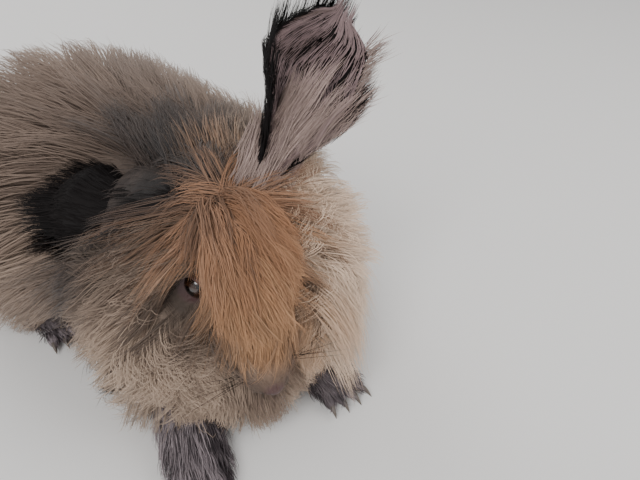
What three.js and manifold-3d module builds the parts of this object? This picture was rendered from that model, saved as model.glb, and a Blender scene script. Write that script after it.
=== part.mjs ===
// A life-size angora rabbit in full coat. It crouches with its head low, its left ear raised and its
// right ear laid back, and its trunk curves round to its right. Millimetres, +Z up, the floor is z = 0.
// The rabbit faces -Y and its left is +X. Head and trunk are drawn in frames of their own, and the whole
// coat is made at once and then parted.
import * as THREE from "three";
import { mergeVertices } from "three/addons/utils/BufferGeometryUtils.js";
import Module from "manifold-3d";

const wasm = await Module();
wasm.setup();

const V = (x, y, z) => new THREE.Vector3(x, y, z);
const { clamp, lerp, degToRad: radians } = THREE.MathUtils;
const LEFT = 1;
const RIGHT = -1;

// Clearances and cut accuracy
const GAP = 0.3; // between nodes that touch
const GRID = 0.01; // corners are kept to this
const SLIVER = 0.12; // corners nearer than this become one
const BOW = 0.03; // where two edges share one place, one is bowed out by this
const TIDY_PASSES = 12;
const HEM = 3; // the wool ends this far above the floor
const FAR = 600; // size of the blocks that cut along a plane

// Coats. Flesh is a few ellipsoids, and wool stands off it by the coat's depth or out to its own ellipsoids.
const CORE_SHARE = 0.5; // the solid core of the wool ends this far from flesh to tips

// The trunk's own frame has +y running back along the spine. It turns about the shoulders.
const SHOULDERS = V(0, -48, 0);
const TRUNK_TURN = 32;
const TRUNK = {
  centre: V(0, 30, 82),
  stretch: V(1, 1.35, 0.9),
  flesh: [
    { at: V(0, -48, 76), radii: V(48, 48, 44) },
    { at: V(0, 20, 79), radii: V(54, 78, 47) },
    { at: V(0, 84, 80), radii: V(58, 60, 50) },
    { at: V(46, 72, 56), radii: V(24, 46, 40) },
    { at: V(-46, 72, 56), radii: V(24, 46, 40) },
  ],
  softness: 26,
  depth: 56,
  facets: { around: 16, along: 12 },
  locks: { count: 84, width: 39, length: 78 },
  lie: (place) => V(place.x * 0.006, 0.75, -0.55 - 0.004 * Math.max(0, 120 - place.z)),
};
const RUFF = {
  centre: V(0, -88, 88),
  stretch: V(1, 0.9, 0.9),
  flesh: [
    { at: V(0, -84, 96), radii: V(58, 44, 44) },
    { at: V(0, -104, 64), radii: V(56, 38, 32) },
  ],
  softness: 16,
  depth: 46,
  facets: { around: 16, along: 12 },
  locks: { count: 60, width: 32, length: 60 },
  lie: (place) => V(place.x * 0.012, 0.3 - 0.008 * Math.max(0, 96 - place.z), -0.5),
};
const NECK_PLANE = { through: V(0, -58, 0), facing: V(0.27, -0.96, 0) }; // the neck's side of it

// The head's own frame: x is its left, -y runs from the crown to the nose, z is dorsal
const CROWN = V(-4, -123, 166);
const HEAD_YAW = 4.6;
const HEAD_PITCH = 46;
const HEAD_ROLL = 6.6;
const WHORL = V(5, -12, 8); // the head's wool radiates from here
const HEAD = {
  centre: V(0, -44, -40),
  stretch: V(1, 1.4, 1),
  flesh: [
    { at: V(0, -34, -30), radii: V(29, 40, 30) },
    { at: V(0, -66, -30), radii: V(24, 36, 27) },
    { at: V(0, -98, -28), radii: V(18, 25, 19) },
    { at: V(0, -88, -42), radii: V(13, 22, 12) },
    { at: V(13, -52, -47), radii: V(18, 30, 22) },
    { at: V(-13, -52, -47), radii: V(18, 30, 22) },
  ],
  softness: 12,
  wool: [
    { at: V(52, -46, -60), radii: V(50, 58, 46) },
    { at: V(-56, -56, -62), radii: V(50, 62, 46) },
    { at: V(-56, -86, -82), radii: V(50, 54, 34) },
    { at: V(-8, -76, -72), radii: V(54, 74, 44) },
    { at: V(0, -42, -8), radii: V(29, 60, 27) },
  ],
  facets: { around: 24, along: 16, lengthwise: true },
  locks: { count: 58, width: 31, length: 54 },
  lie: (place) => place.clone().sub(WHORL),
};
const BARE_DEPTH = 9; // no locks where the wool is shallower than this
const ROOT_HEIGHT = 9; // nor so low on the body
const BURIED = 12; // nor so deep in another coat
const MOST_LIFT = 34;
const UNDER_TIPS = 5;
// Long locks that fall from the crown over the forehead towards the nose
const BANGS = {
  rows: [[-15, -3, 9, 21], [-9, 3, 15, 27], [-14, -1, 12]],
  start: 6,
  step: 23,
  length: 60,
  width: 20,
  lift: 8,
};
const NAPE_LOCKS = {
  rows: [
    { y: -110, z: 146, places: [-24, -12, 1, 13, 25] },
    { y: -84, z: 144, places: [-34, -18, -3, 12, 27] },
  ],
  reach: 62,
  spread: 1.25,
  width: 25,
  lift: 34,
};
const NAPE_PLANE = { through: V(0, 8, 0), facing: V(0, -0.89, 0.45) };
const THROAT_PLANE = { through: V(0, -30, -72), facing: V(0, -0.33, 0.944) };

// The face
const EYE_RADIUS = 8.8;
const EYE = V(23, -50, -20);
const GAZE = V(0.86, -0.36, 0.36);
const LID = { radius: 8.3, thickness: 1.9, height: 0.82 };
const NOSE = { at: V(0, -120.5, -23), radii: V(6.5, 5, 4.6) };
const NOSTRIL = { at: V(3.7, -124.6, -23.4), radii: V(1.5, 2.6, 1) };
const LIPS = { at: V(5.6, -115.5, -33), radii: V(6.8, 8, 6.4) };
const MOUTH = [V(0, -124, -38), V(7, -119.5, -40), V(12.5, -110, -41.5), V(15.5, -99, -42)];
const CLEFT = [V(0, -126, -27), V(0, -125, -32), V(0, -122, -38)];
const GROOVE = 1.1;

const EAR_LENGTH = 108;
const EAR_ARC = 80; // width of the ear unrolled, at its widest
const EAR_SKIN = 2.4;
const EAR_SINK = 6; // the leaf starts this far above the root
const EAR_ROLL = { base: radians(126), tip: radians(54), opensBy: 0.67 }; // half angle of its section
const EAR_BULB = V(7, 7, 15);
const EARS = [
  { name: "ear_left", root: V(21, -5, -13), along: V(0.58, 0.24, 0.78), opening: V(0.1, -1, 0.15) },
  { name: "ear_right", root: V(-20, -5, -15), along: V(-0.67, 0.7, -0.22), opening: V(0.25, 0.1, -0.96) },
];
const TASSELS = { count: 8, width: 18, length: 44 };
const EAR_ROOM = 13; // locks of the coat keep this far from an ear's middle line
const EAR_FOOT = 12; // except along this length of it from the root
const EAR_GAP = 0.6;
const EYE_ROOM = 19; // and this far from an eye

const FORELEGS = [
  {
    name: "foreleg_right",
    path: [V(-38, -86, 60), V(-41, -118, 40), V(-43, -148, 18), V(-45, -176, 8), V(-46, -200, 6), V(-46, -218, 5)],
  },
  {
    name: "foreleg_left",
    path: [V(38, -76, 60), V(42, -98, 40), V(47, -118, 18), V(53, -138, 8), V(58, -155, 6), V(61, -168, 5)],
  },
];
// These stand in the trunk's frame
const HIND_LEGS = [
  {
    name: "hind_leg_right",
    thigh: [V(-50, 62, 62), V(-64, 96, 42), V(-71, 118, 18)],
    path: [V(-72, 126, 10), V(-78, 91, 9), V(-84, 56, 9), V(-90, 21, 8)],
  },
  {
    name: "hind_leg_left",
    thigh: [V(50, 58, 62), V(62, 92, 42), V(69, 114, 18)],
    path: [V(70, 122, 10), V(75, 87, 9), V(80, 51, 9), V(86, 15, 8)],
  },
];
const TOES = { count: 4, radii: V(4.2, 10, 6.5), fan: 9 };
const CLAW = { radius: 1.7, length: 11, drop: 24 };
const FRINGE = { count: 5, width: 19, length: 34 };

const TAIL = { at: V(0, 172, 72), radii: V(19, 22, 27), tuft: { count: 12, width: 22, length: 25 } };

const COLOURS = {
  wool: { color: 0x9c8468, roughness: 0.95 },
  smoke: { color: 0x5d504a, roughness: 0.95 },
  ear: { color: 0x55494b, roughness: 0.9 },
  paw: { color: 0x5a5254, roughness: 0.95 },
  eye: { color: 0x120c09, roughness: 0.08 },
};

// Seeded random numbers from 0 to 1
let seed = 20;
function random() {
  seed = (seed + 0x6d2b79f5) | 0;
  let mixed = Math.imul(seed ^ (seed >>> 15), 1 | seed);
  mixed = (mixed + Math.imul(mixed ^ (mixed >>> 7), 61 | mixed)) ^ mixed;
  return ((mixed ^ (mixed >>> 14)) >>> 0) / 4294967296;
}
const around = (middle, spread) => middle + (random() * 2 - 1) * spread;

// Fields: negative inside, zero on the surface
function ellipsoidValue(point, { at, radii }) {
  const q = point.clone().sub(at).divide(radii);
  const steep = q.clone().divide(radii).length() + 1e-6;
  return (q.length() * (q.length() - 1)) / steep;
}

function smoothMin(a, b, width) {
  const share = clamp(0.5 + (b - a) / (2 * width), 0, 1);
  return lerp(b, a, share) - width * share * (1 - share);
}

function fused(shapes, width, swell = 0) {
  return (point) =>
    shapes.map((shape) => ellipsoidValue(point, shape)).reduce((a, b) => smoothMin(a, b, width)) - swell;
}

function reach(field, centre, direction) {
  let distance = 0;
  for (let step = 0; step < 80; step++) {
    const value = field(centre.clone().addScaledVector(direction, distance));
    distance -= 0.8 * value;
    if (Math.abs(value) < 0.005) break;
  }
  return distance;
}

function slope(field, point) {
  const step = 0.5;
  const along = (axis) => field(point.clone().add(axis)) - field(point.clone().sub(axis));
  return V(along(V(step, 0, 0)), along(V(0, step, 0)), along(V(0, 0, step))).normalize();
}

// A coat's flesh, core and tips, each as a distance from its centre along a direction
function coatOf(shape, pose) {
  const { centre, flesh, softness, depth, wool } = shape;
  const inverse = pose.clone().invert();
  const fleshField = fused(flesh, softness);
  const tipField = wool ? fused(wool, softness) : fused(flesh, softness, depth);
  const bare = (direction) => reach(fleshField, centre, direction);
  const tips = (direction) => Math.max(bare(direction), reach(tipField, centre, direction));
  const core = (direction) => lerp(bare(direction), tips(direction), CORE_SHARE);
  const tipValue = (place) => tipField(place.clone().applyMatrix4(inverse));
  const holds = (place, margin) => {
    const out = place.clone().applyMatrix4(inverse).sub(centre);
    const distance = out.length();
    return distance < core(out.normalize()) - margin;
  };
  return { ...shape, pose, tipField, tipValue, tips, core, holds };
}

// Solids
function solid(geometry) {
  const bare = new THREE.BufferGeometry();
  bare.setAttribute("position", geometry.getAttribute("position"));
  if (geometry.index) bare.setIndex(geometry.index);
  const merged = mergeVertices(bare, 1e-3);
  return new wasm.Manifold(
    new wasm.Mesh({
      numProp: 3,
      vertProperties: new Float32Array(merged.attributes.position.array),
      triVerts: new Uint32Array(merged.index.array),
    }),
  );
}

function moveVertices(geometry, move) {
  const position = geometry.attributes.position;
  for (let i = 0; i < position.count; i++) {
    const moved = move(V(position.getX(i), position.getY(i), position.getZ(i)));
    position.setXYZ(i, moved.x, moved.y, moved.z);
  }
  return geometry;
}

// The core of a coat: a sphere whose vertices slide along their own rays
function coreBlob(coat) {
  const { around: sides, along: rings, lengthwise } = coat.facets;
  const sphere = new THREE.SphereGeometry(1, sides, rings);
  if (!lengthwise) sphere.rotateX(Math.PI / 2);
  return solid(
    moveVertices(sphere, (v) => {
      const direction = v.multiply(coat.stretch).normalize();
      return direction.clone().multiplyScalar(coat.core(direction)).add(coat.centre);
    }),
  );
}

function ellipsoid(at, radii, sides = 12, rings = 8) {
  const ball = new THREE.SphereGeometry(1, sides, rings);
  return solid(ball.scale(radii.x, radii.y, radii.z).translate(at.x, at.y, at.z));
}

// A round-ended limb along a curve. girth(s) gives its half width and half height at share s.
function limb(points, girth, sides, rings, grow = 0, floor = -Infinity) {
  const curve = new THREE.CatmullRomCurve3(points);
  const sphere = new THREE.SphereGeometry(1, sides, rings);
  return solid(
    moveVertices(sphere, (v) => {
      const share = clamp((1 - v.y) / 2, 0, 1);
      const fullness = Math.pow(Math.max(0, 1 - v.y * v.y), 0.22);
      const angle = Math.atan2(v.z, v.x);
      const tangent = curve.getTangentAt(share);
      const side = tangent.clone().cross(V(0.01, 0, 1)).normalize();
      const up = side.clone().cross(tangent);
      const { wide, tall } = girth(share);
      const placed = curve
        .getPointAt(share)
        .addScaledVector(tangent, (share - 0.5) * 2 * grow)
        .addScaledVector(side, -Math.cos(angle) * (wide + grow) * fullness)
        .addScaledVector(up, Math.sin(angle) * (tall + grow) * fullness);
      placed.z = Math.max(placed.z, floor);
      return placed;
    }),
  );
}

// A flat lock that narrows to a point. It follows a bend from its root, and its flat faces look outward.
const LOCK_RINGS = 3;
const LOCK_FLATNESS = 0.26; // thickness as a share of its width
function lock({ bend, width, outward }, grow = 0) {
  const cone = new THREE.ConeGeometry(1, 1, 4, LOCK_RINGS);
  return solid(
    moveVertices(cone, (v) => {
      const share = clamp(v.y + 0.5, 0, 1);
      const tangent = bend.getTangent(share);
      const side = tangent.clone().cross(outward).normalize();
      const up = side.clone().cross(tangent);
      const half = (width / 2) * Math.min(1, 0.7 + share) * Math.pow(1 - share, 0.65);
      const angle = Math.atan2(v.z, v.x);
      const open = share < 0.999 ? 1 : 0;
      return bend
        .getPoint(share)
        .addScaledVector(tangent, (share - 0.5) * 6 * grow)
        .addScaledVector(side, Math.cos(angle) * open * (half + 2 * grow))
        .addScaledVector(up, Math.sin(angle) * open * (half * LOCK_FLATNESS + 2 * grow));
    }),
  );
}

function halfSpace({ through, facing }, shift = 0) {
  const normal = facing.clone().normalize();
  const turn = new THREE.Quaternion().setFromUnitVectors(V(0, 0, 1), normal);
  const block = new THREE.BoxGeometry(FAR, FAR, FAR).translate(0, 0, FAR / 2);
  const centre = through.clone().addScaledVector(normal, shift);
  return solid(block.applyQuaternion(turn).translate(centre.x, centre.y, centre.z));
}

function union(solids) {
  return wasm.Manifold.union(solids);
}

// Cuts leave slivers and corners that nearly touch. The next functions rebuild a cut solid's faces so that
// every edge is a fair length and borders just two faces.
const turnedKey = ([a, b, c]) => (a < b && a < c ? [a, b, c] : b < c ? [b, c, a] : [c, a, b]).join();

// Leaves out faces that have collapsed and pairs that lie back to back
function withoutFolds(faces) {
  const kept = new Map();
  for (const face of faces) {
    const [a, b, c] = face;
    if (a === b || b === c || c === a) continue;
    const back = kept.get(turnedKey([a, c, b]));
    if (back?.length) back.pop();
    else kept.set(turnedKey(face), [...(kept.get(turnedKey(face)) ?? []), face]);
  }
  return [...kept.values()].flat();
}

function numberedFaces({ numProp, vertProperties, triVerts }) {
  const corners = [];
  const numbers = new Map();
  const numbered = Array.from(triVerts, (i) => {
    const place = vertProperties.subarray(i * numProp, i * numProp + 3);
    const key = Array.from(place, (c) => Math.round(c / GRID)).join();
    if (!numbers.has(key)) numbers.set(key, corners.push(V(...key.split(",").map((c) => c * GRID))) - 1);
    return numbers.get(key);
  });
  const faces = [];
  for (let i = 0; i < numbered.length; i += 3) faces.push(numbered.slice(i, i + 3));
  return { corners, faces: withoutFolds(faces) };
}

// The faces on each directed edge, keyed by its two corners
function facesAlong(faces) {
  const along = new Map();
  faces.forEach((face, f) =>
    face.forEach((a, k) => {
      const key = a + "," + face[(k + 1) % 3];
      along.set(key, [...(along.get(key) ?? []), f]);
    }),
  );
  return along;
}

function joinShortEdges(corners, faces) {
  const joined = corners.map((_, i) => i);
  const last = (i) => (joined[i] === i ? i : last(joined[i]));
  for (const face of faces) {
    face.forEach((a, k) => {
      const [i, j] = [last(a), last(face[(k + 1) % 3])];
      if (i !== j && corners[i].distanceTo(corners[j]) < SLIVER) joined[Math.max(i, j)] = Math.min(i, j);
    });
  }
  return withoutFolds(faces.map((face) => face.map(last)));
}

// Where a face's corner all but touches its longest edge, that edge turns to run from the corner instead
function turnLongEdges(corners, faces) {
  const along = facesAlong(faces);
  const done = new Set();
  let turns = 0;
  for (let f = 0; f < faces.length; f++) {
    const sides = faces[f].map((a, k) => corners[a].distanceTo(corners[faces[f][(k + 1) % 3]]));
    const k = sides.indexOf(Math.max(...sides));
    const area = new THREE.Triangle(...faces[f].map((i) => corners[i])).getArea();
    if ((2 * area) / sides[k] > SLIVER / 2 || done.has(f)) continue;
    const [a, b, c] = [faces[f][k], faces[f][(k + 1) % 3], faces[f][(k + 2) % 3]];
    const across = along.get(b + "," + a) ?? [];
    if (across.length !== 1 || along.get(a + "," + b).length !== 1 || done.has(across[0])) continue;
    const d = faces[across[0]].find((i) => i !== a && i !== b);
    if (c === d || along.has(c + "," + d) || along.has(d + "," + c)) continue;
    faces[f] = [c, a, d];
    faces[across[0]] = [d, b, c];
    done.add(f).add(across[0]);
    turns++;
  }
  return turns;
}

// Splits one pair of faces at a bowed midpoint wherever four faces meet along one edge
function partDoubledEdges(corners, faces) {
  for (;;) {
    const along = facesAlong(faces);
    const doubled = [...along].find(([, sharing]) => sharing.length > 1);
    if (!doubled) return;
    const [a, b] = doubled[0].split(",").map(Number);
    const pair = [doubled[1][1], along.get(b + "," + a)[1]];
    const bow = pair
      .map((f) => new THREE.Triangle(...faces[f].map((i) => corners[i])).getNormal(V(0, 0, 0)))
      .reduce((sum, normal) => sum.add(normal))
      .setLength(BOW);
    const middle = corners.push(corners[a].clone().lerp(corners[b], 0.5).add(bow)) - 1;
    for (const f of pair) {
      const k = faces[f].findIndex((i, at) => [a, b].includes(i) && [a, b].includes(faces[f][(at + 1) % 3]));
      const [from, to, third] = [faces[f][k], faces[f][(k + 1) % 3], faces[f][(k + 2) % 3]];
      faces[f] = [from, middle, third];
      faces.push([middle, to, third]);
    }
  }
}

// The largest closed surface of a solid
function largest(whole) {
  return whole.decompose().reduce((a, b) => (a.volume() > b.volume() ? a : b));
}

function tidied(whole) {
  const { corners, faces: cut } = numberedFaces(largest(whole).simplify(SLIVER).getMesh());
  let faces = joinShortEdges(corners, cut);
  for (let pass = 0; pass < TIDY_PASSES && turnLongEdges(corners, faces) > 0; pass++) {
    faces = joinShortEdges(corners, faces);
  }
  partDoubledEdges(corners, faces);
  return new THREE.BufferGeometry().setFromPoints(corners).setIndex(faces.flat());
}

function mesh(name, whole, look) {
  let geometry = tidied(solid(tidied(whole)));
  while (solid(geometry).decompose().length > 1) geometry = tidied(solid(geometry));
  geometry.computeVertexNormals();
  const made = new THREE.Mesh(geometry, new THREE.MeshStandardMaterial({ ...look, metalness: 0 }));
  made.name = name;
  return made;
}

// The head's frame, and solids carried into and out of it
function headPose() {
  const yaw = radians(HEAD_YAW);
  const pitch = radians(HEAD_PITCH);
  const forward = V(Math.sin(yaw) * Math.cos(pitch), -Math.cos(yaw) * Math.cos(pitch), -Math.sin(pitch));
  const level = V(0, 0, 1).cross(forward).normalize();
  const dorsal = forward.clone().cross(level).applyAxisAngle(forward, radians(HEAD_ROLL));
  const left = dorsal.clone().cross(forward);
  return new THREE.Matrix4().makeBasis(left, forward.negate(), dorsal).setPosition(CROWN);
}
const HEAD_POSE = headPose();
const INTO_HEAD = HEAD_POSE.clone().invert();

const TRUNK_POSE = new THREE.Matrix4()
  .makeTranslation(SHOULDERS)
  .multiply(new THREE.Matrix4().makeRotationZ(radians(TRUNK_TURN)))
  .multiply(new THREE.Matrix4().makeTranslation(SHOULDERS.clone().negate()));

const carried = (whole, matrix) => whole.transform(matrix.elements.slice());

// Ears: a cupped leaf on a fleshy bulb, in the head's frame. A grown one has its cup filled, as the room
// that the wool leaves it.
function earFrame({ root, along, opening }) {
  const axis = along.clone().transformDirection(INTO_HEAD);
  const side = opening.clone().transformDirection(INTO_HEAD).cross(axis).normalize();
  const front = axis.clone().cross(side);
  return { root, axis, side, front };
}

// Half angle and radius of the ear's rolled section at share s of its length
function earSection(share) {
  const opened = Math.min(1, 0.26 + 1.4 * share);
  const closed = clamp((share - 0.5) / 0.5, 0, 1);
  const width = EAR_ARC * opened * Math.sqrt(1 - 0.93 * closed ** 2.4);
  const halfAngle = lerp(EAR_ROLL.base, EAR_ROLL.tip, Math.min(1, share / EAR_ROLL.opensBy));
  return { halfAngle, radius: width / (2 * halfAngle), spine: EAR_ARC * opened * 0.36 };
}

// A place on the ear: share along it, edge from -1 to 1 across it, lift off its middle surface
function earPlace({ root, axis, side, front }, share, edge, lift) {
  const { halfAngle, radius, spine } = earSection(share);
  const angle = edge * halfAngle;
  return root
    .clone()
    .addScaledVector(axis, lerp(EAR_SINK, EAR_LENGTH, share))
    .addScaledVector(side, (radius + lift) * Math.sin(angle))
    .addScaledVector(front, -(radius + lift) * Math.cos(angle) + Math.min(radius, spine));
}

function earBody(each, grow = 0) {
  const frame = earFrame(each);
  const leaf = new THREE.BoxGeometry(1, 1, 1, 6, 7, 1).translate(0, 0.5, 0);
  const shell = moveVertices(leaf, (v) => {
    const share = v.y + ((v.y - 0.5) * 2 * grow) / EAR_LENGTH;
    const edge = v.x * 2 * (Math.abs(v.x) > 0.49 ? 1 + grow / 12 : 1);
    return earPlace(frame, share, edge, v.z * (EAR_SKIN + 2 * grow));
  });
  const turn = new THREE.Quaternion().setFromUnitVectors(V(0, 0, 1), frame.axis);
  const bulb = new THREE.SphereGeometry(1, 10, 6)
    .scale(EAR_BULB.x + grow, EAR_BULB.y + grow, EAR_BULB.z + grow)
    .applyQuaternion(turn)
    .translate(frame.root.x, frame.root.y, frame.root.z);
  const leafSolid = grow > 0 ? solid(shell).hull() : solid(shell);
  return union([leafSolid, solid(bulb)]);
}

// Locks along both rims of an ear and past its tip, longest at the tip
function earTassels(each) {
  const frame = earFrame(each);
  return Array.from({ length: TASSELS.count }, (_, i) => {
    const across = (2 * i) / (TASSELS.count - 1) - 1;
    const share = 0.93 - 0.55 * Math.abs(across) ** 1.5;
    const edge = clamp(across * 1.25, -0.86, 0.86) * around(1, 0.05);
    const root = earPlace(frame, share - 0.1, edge * 0.9, 0);
    const rim = earPlace(frame, share, edge, 0);
    const outward = frame.front.clone().multiplyScalar(-1).addScaledVector(frame.side, across).normalize();
    const length = TASSELS.length * around(1 - 0.3 * Math.abs(across), 0.12);
    const tip = rim
      .clone()
      .addScaledVector(frame.axis, length * 0.86)
      .addScaledVector(frame.side, across * length * 0.3)
      .addScaledVector(frame.front, around(0, 4));
    const bend = new THREE.QuadraticBezierCurve3(root, rim.addScaledVector(frame.axis, length * 0.25), tip);
    return { bend, width: TASSELS.width * around(1, 0.15), outward };
  });
}

function ear(each, grow = 0) {
  return union([earBody(each, grow), ...each.tassels.map((tassel) => lock(tassel, grow))]);
}
EARS.forEach((each) => (each.tassels = earTassels(each)));

function eyeball(side, grow = 0) {
  const radius = EYE_RADIUS + grow;
  return ellipsoid(V(EYE.x * side, EYE.y, EYE.z), V(radius, radius, radius), 12, 8);
}

// The coat. Locks are kept off the ears, the eyes and any place with little wool.
const EAR_LINES = EARS.map((each) => {
  const { root, axis } = earFrame(each);
  const [start, end] = [EAR_FOOT, EAR_LENGTH].map((along) => root.clone().addScaledVector(axis, along));
  return new THREE.Line3(start.applyMatrix4(HEAD_POSE), end.applyMatrix4(HEAD_POSE));
});
const EYE_PLACES = [LEFT, RIGHT].map((side) =>
  V(EYE.x * side, EYE.y, EYE.z).addScaledVector(V(GAZE.x * side, GAZE.y, GAZE.z), 8).applyMatrix4(HEAD_POSE),
);

function clearOfEars(place) {
  return EAR_LINES.every((line) => line.closestPointToPoint(place, true, V(0, 0, 0)).distanceTo(place) > EAR_ROOM);
}

// Directions spread evenly over a ball by a golden spiral
function spread(count) {
  const turn = Math.PI * (3 - Math.sqrt(5));
  return Array.from({ length: count }, (_, i) => {
    const height = 1 - (2 * i + 1) / count;
    const radius = Math.sqrt(1 - height * height);
    return V(radius * Math.cos(i * turn), radius * Math.sin(i * turn), height);
  });
}

// Where coats meet, locks rise until they come out at the outermost tips
function lifted(place, normal) {
  for (let left = MOST_LIFT; left > 0; ) {
    const short = -Math.min(...COATS.map((coat) => coat.tipValue(place))) - UNDER_TIPS;
    if (short < 1) break;
    place.addScaledVector(normal, Math.min(short, left));
    left -= short;
  }
  return place;
}

// One lock from a coat's core: it rises along the normal, then lies along the coat and ends at its tips
function coatLock(coat, direction) {
  const { centre, lie, locks, pose } = coat;
  const root = centre.clone().addScaledVector(direction, coat.core(direction));
  const normal = slope(coat.tipField, root);
  const flow = lie(root);
  flow.addScaledVector(normal, -flow.dot(normal)).normalize();
  const swing = flow.clone().cross(normal);
  flow.addScaledVector(swing, around(0, 0.22)).normalize();
  const deep = coat.tips(direction) - coat.core(direction);
  const run = locks.length * around(1, 0.14);
  const outward = root
    .clone()
    .addScaledVector(flow, run)
    .addScaledVector(normal, deep)
    .sub(centre)
    .normalize();
  const tip = centre.clone().addScaledVector(outward, coat.tips(outward) * around(0.965, 0.025));
  const elbow = root
    .clone()
    .addScaledVector(normal, deep * 1.05)
    .addScaledVector(flow, run * 0.36);
  root.addScaledVector(normal, -locks.width * 0.3);
  [root, elbow, tip].forEach((place) => place.applyMatrix4(pose));
  normal.transformDirection(pose);
  const bend = new THREE.QuadraticBezierCurve3(root, lifted(elbow, normal), lifted(tip, normal));
  return { bend, outward: normal, deep, width: locks.width * around(1, 0.16) };
}

const TRUNK_COAT = coatOf(TRUNK, TRUNK_POSE);
const RUFF_COAT = coatOf(RUFF, new THREE.Matrix4());
const HEAD_COAT = coatOf(HEAD, HEAD_POSE);
const COATS = [TRUNK_COAT, RUFF_COAT, HEAD_COAT];

// Whether a lock has its root where it shows, and keeps off ears, eyes and the floor
function shows({ bend, deep }, coat) {
  const [root, middle, tip] = [0.1, 0.5, 1].map((share) => bend.getPoint(share));
  const buried = COATS.some((other) => other !== coat && other.holds(root, BURIED));
  const deepEnough = deep > BARE_DEPTH * (1 - CORE_SHARE);
  const clearOfEyes = EYE_PLACES.every((eye) => Math.min(eye.distanceTo(middle), eye.distanceTo(tip)) > EYE_ROOM);
  return deepEnough && root.z > ROOT_HEIGHT && !buried && clearOfEyes && clearOfEars(middle) && clearOfEars(tip);
}

function woolOf(coat, more = []) {
  const locks = spread(coat.locks.count)
    .map((even) => even.multiply(coat.stretch).normalize())
    .map((direction) => coatLock(coat, direction))
    .filter((each) => shows(each, coat));
  return [carried(coreBlob(coat), coat.pose), ...[...locks, ...more].map((each) => lock(each))];
}

// Each lock of the bangs runs down the face just off the wool's tips, and dips to them at its end
function bangs() {
  const { rows, start, step, length, width, lift } = BANGS;
  const onFace = (x, y, off) => {
    const direction = V(x, y, 22).sub(HEAD.centre).normalize();
    return HEAD.centre.clone().addScaledVector(direction, HEAD_COAT.tips(direction) + off);
  };
  return rows.flatMap((row, r) =>
    row.map((across) => {
      const back = start - r * step;
      const run = length * around(1, 0.1);
      const root = onFace(across * 0.8, back, -9);
      const elbow = onFace(across, back - run * 0.45, lift * 2);
      const tip = onFace(across * 1.2 + around(0, 3), back - run, 1);
      const bend = new THREE.QuadraticBezierCurve3(...[root, elbow, tip].map((place) => place.applyMatrix4(HEAD_POSE)));
      return { bend, width, outward: V(across * 0.02, -0.3, 1).transformDirection(HEAD_POSE) };
    }),
  );
}

// Locks that run back over the nape from the crown, in two rows
function napeLocks() {
  const { rows, reach: back, spread: fan, width, lift } = NAPE_LOCKS;
  return rows.flatMap(({ y, z, places }) =>
    places.map((x) => {
      const run = back * around(1, 0.12);
      const root = V(x, y, z);
      const elbow = V(x * fan, y + run * 0.4, z + lift);
      const tip = lifted(V(x * fan * fan + around(0, 5), y + run, z), V(0, 0, 1));
      return { bend: new THREE.QuadraticBezierCurve3(root, elbow, tip), width, outward: V(0, 0, 1) };
    }),
  );
}

// Lids, nose, lips and the cuts of mouth and nostrils, in the head's frame
function lid(side) {
  const look = V(GAZE.x * side, GAZE.y, GAZE.z).normalize();
  const turn = new THREE.Quaternion().setFromUnitVectors(V(0, 0, 1), look);
  const ring = new THREE.TorusGeometry(LID.radius, LID.thickness, 5, 16).scale(1, LID.height, 1.2);
  const at = V(EYE.x * side, EYE.y, EYE.z).addScaledVector(look, 2.6);
  return solid(ring.applyQuaternion(turn).translate(at.x, at.y, at.z));
}

function mirrored(place, side) {
  return V(place.x * side, place.y, place.z);
}

function faceForms() {
  return [
    ellipsoid(NOSE.at, NOSE.radii, 12, 8),
    ...[LEFT, RIGHT].flatMap((side) => [ellipsoid(mirrored(LIPS.at, side), LIPS.radii, 10, 8), lid(side)]),
  ];
}

function faceCuts() {
  const groove = () => ({ wide: GROOVE, tall: GROOVE });
  const sides = [LEFT, RIGHT].flatMap((side) => [
    limb(MOUTH.map((place) => mirrored(place, side)), groove, 5, 9),
    ellipsoid(mirrored(NOSTRIL.at, side), NOSTRIL.radii, 8, 6),
  ]);
  return union([...sides, limb(CLEFT, groove, 5, 6)]);
}

// Legs
function forelegGirth(share) {
  return { wide: lerp(18, 21, share), tall: lerp(19, 11, share) };
}

function footGirth(share) {
  return { wide: 14 + 4 * share, tall: 12 };
}

function thighGirth(share) {
  return { wide: lerp(22, 13, share), tall: lerp(24, 12, share) };
}

const LEGS = [
  ...FORELEGS.map((leg) => ({ ...leg, girth: forelegGirth, pose: new THREE.Matrix4() })),
  ...HIND_LEGS.map((leg) => ({ ...leg, girth: footGirth, pose: TRUNK_POSE })),
];

function legBody({ path, girth, thigh }, grow = 0) {
  const foot = limb(path, girth, 10, 9, grow, grow > 0 ? -GAP : 0);
  return thigh ? foot.add(limb(thigh, thighGirth, 10, 6, grow)) : foot;
}

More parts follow.
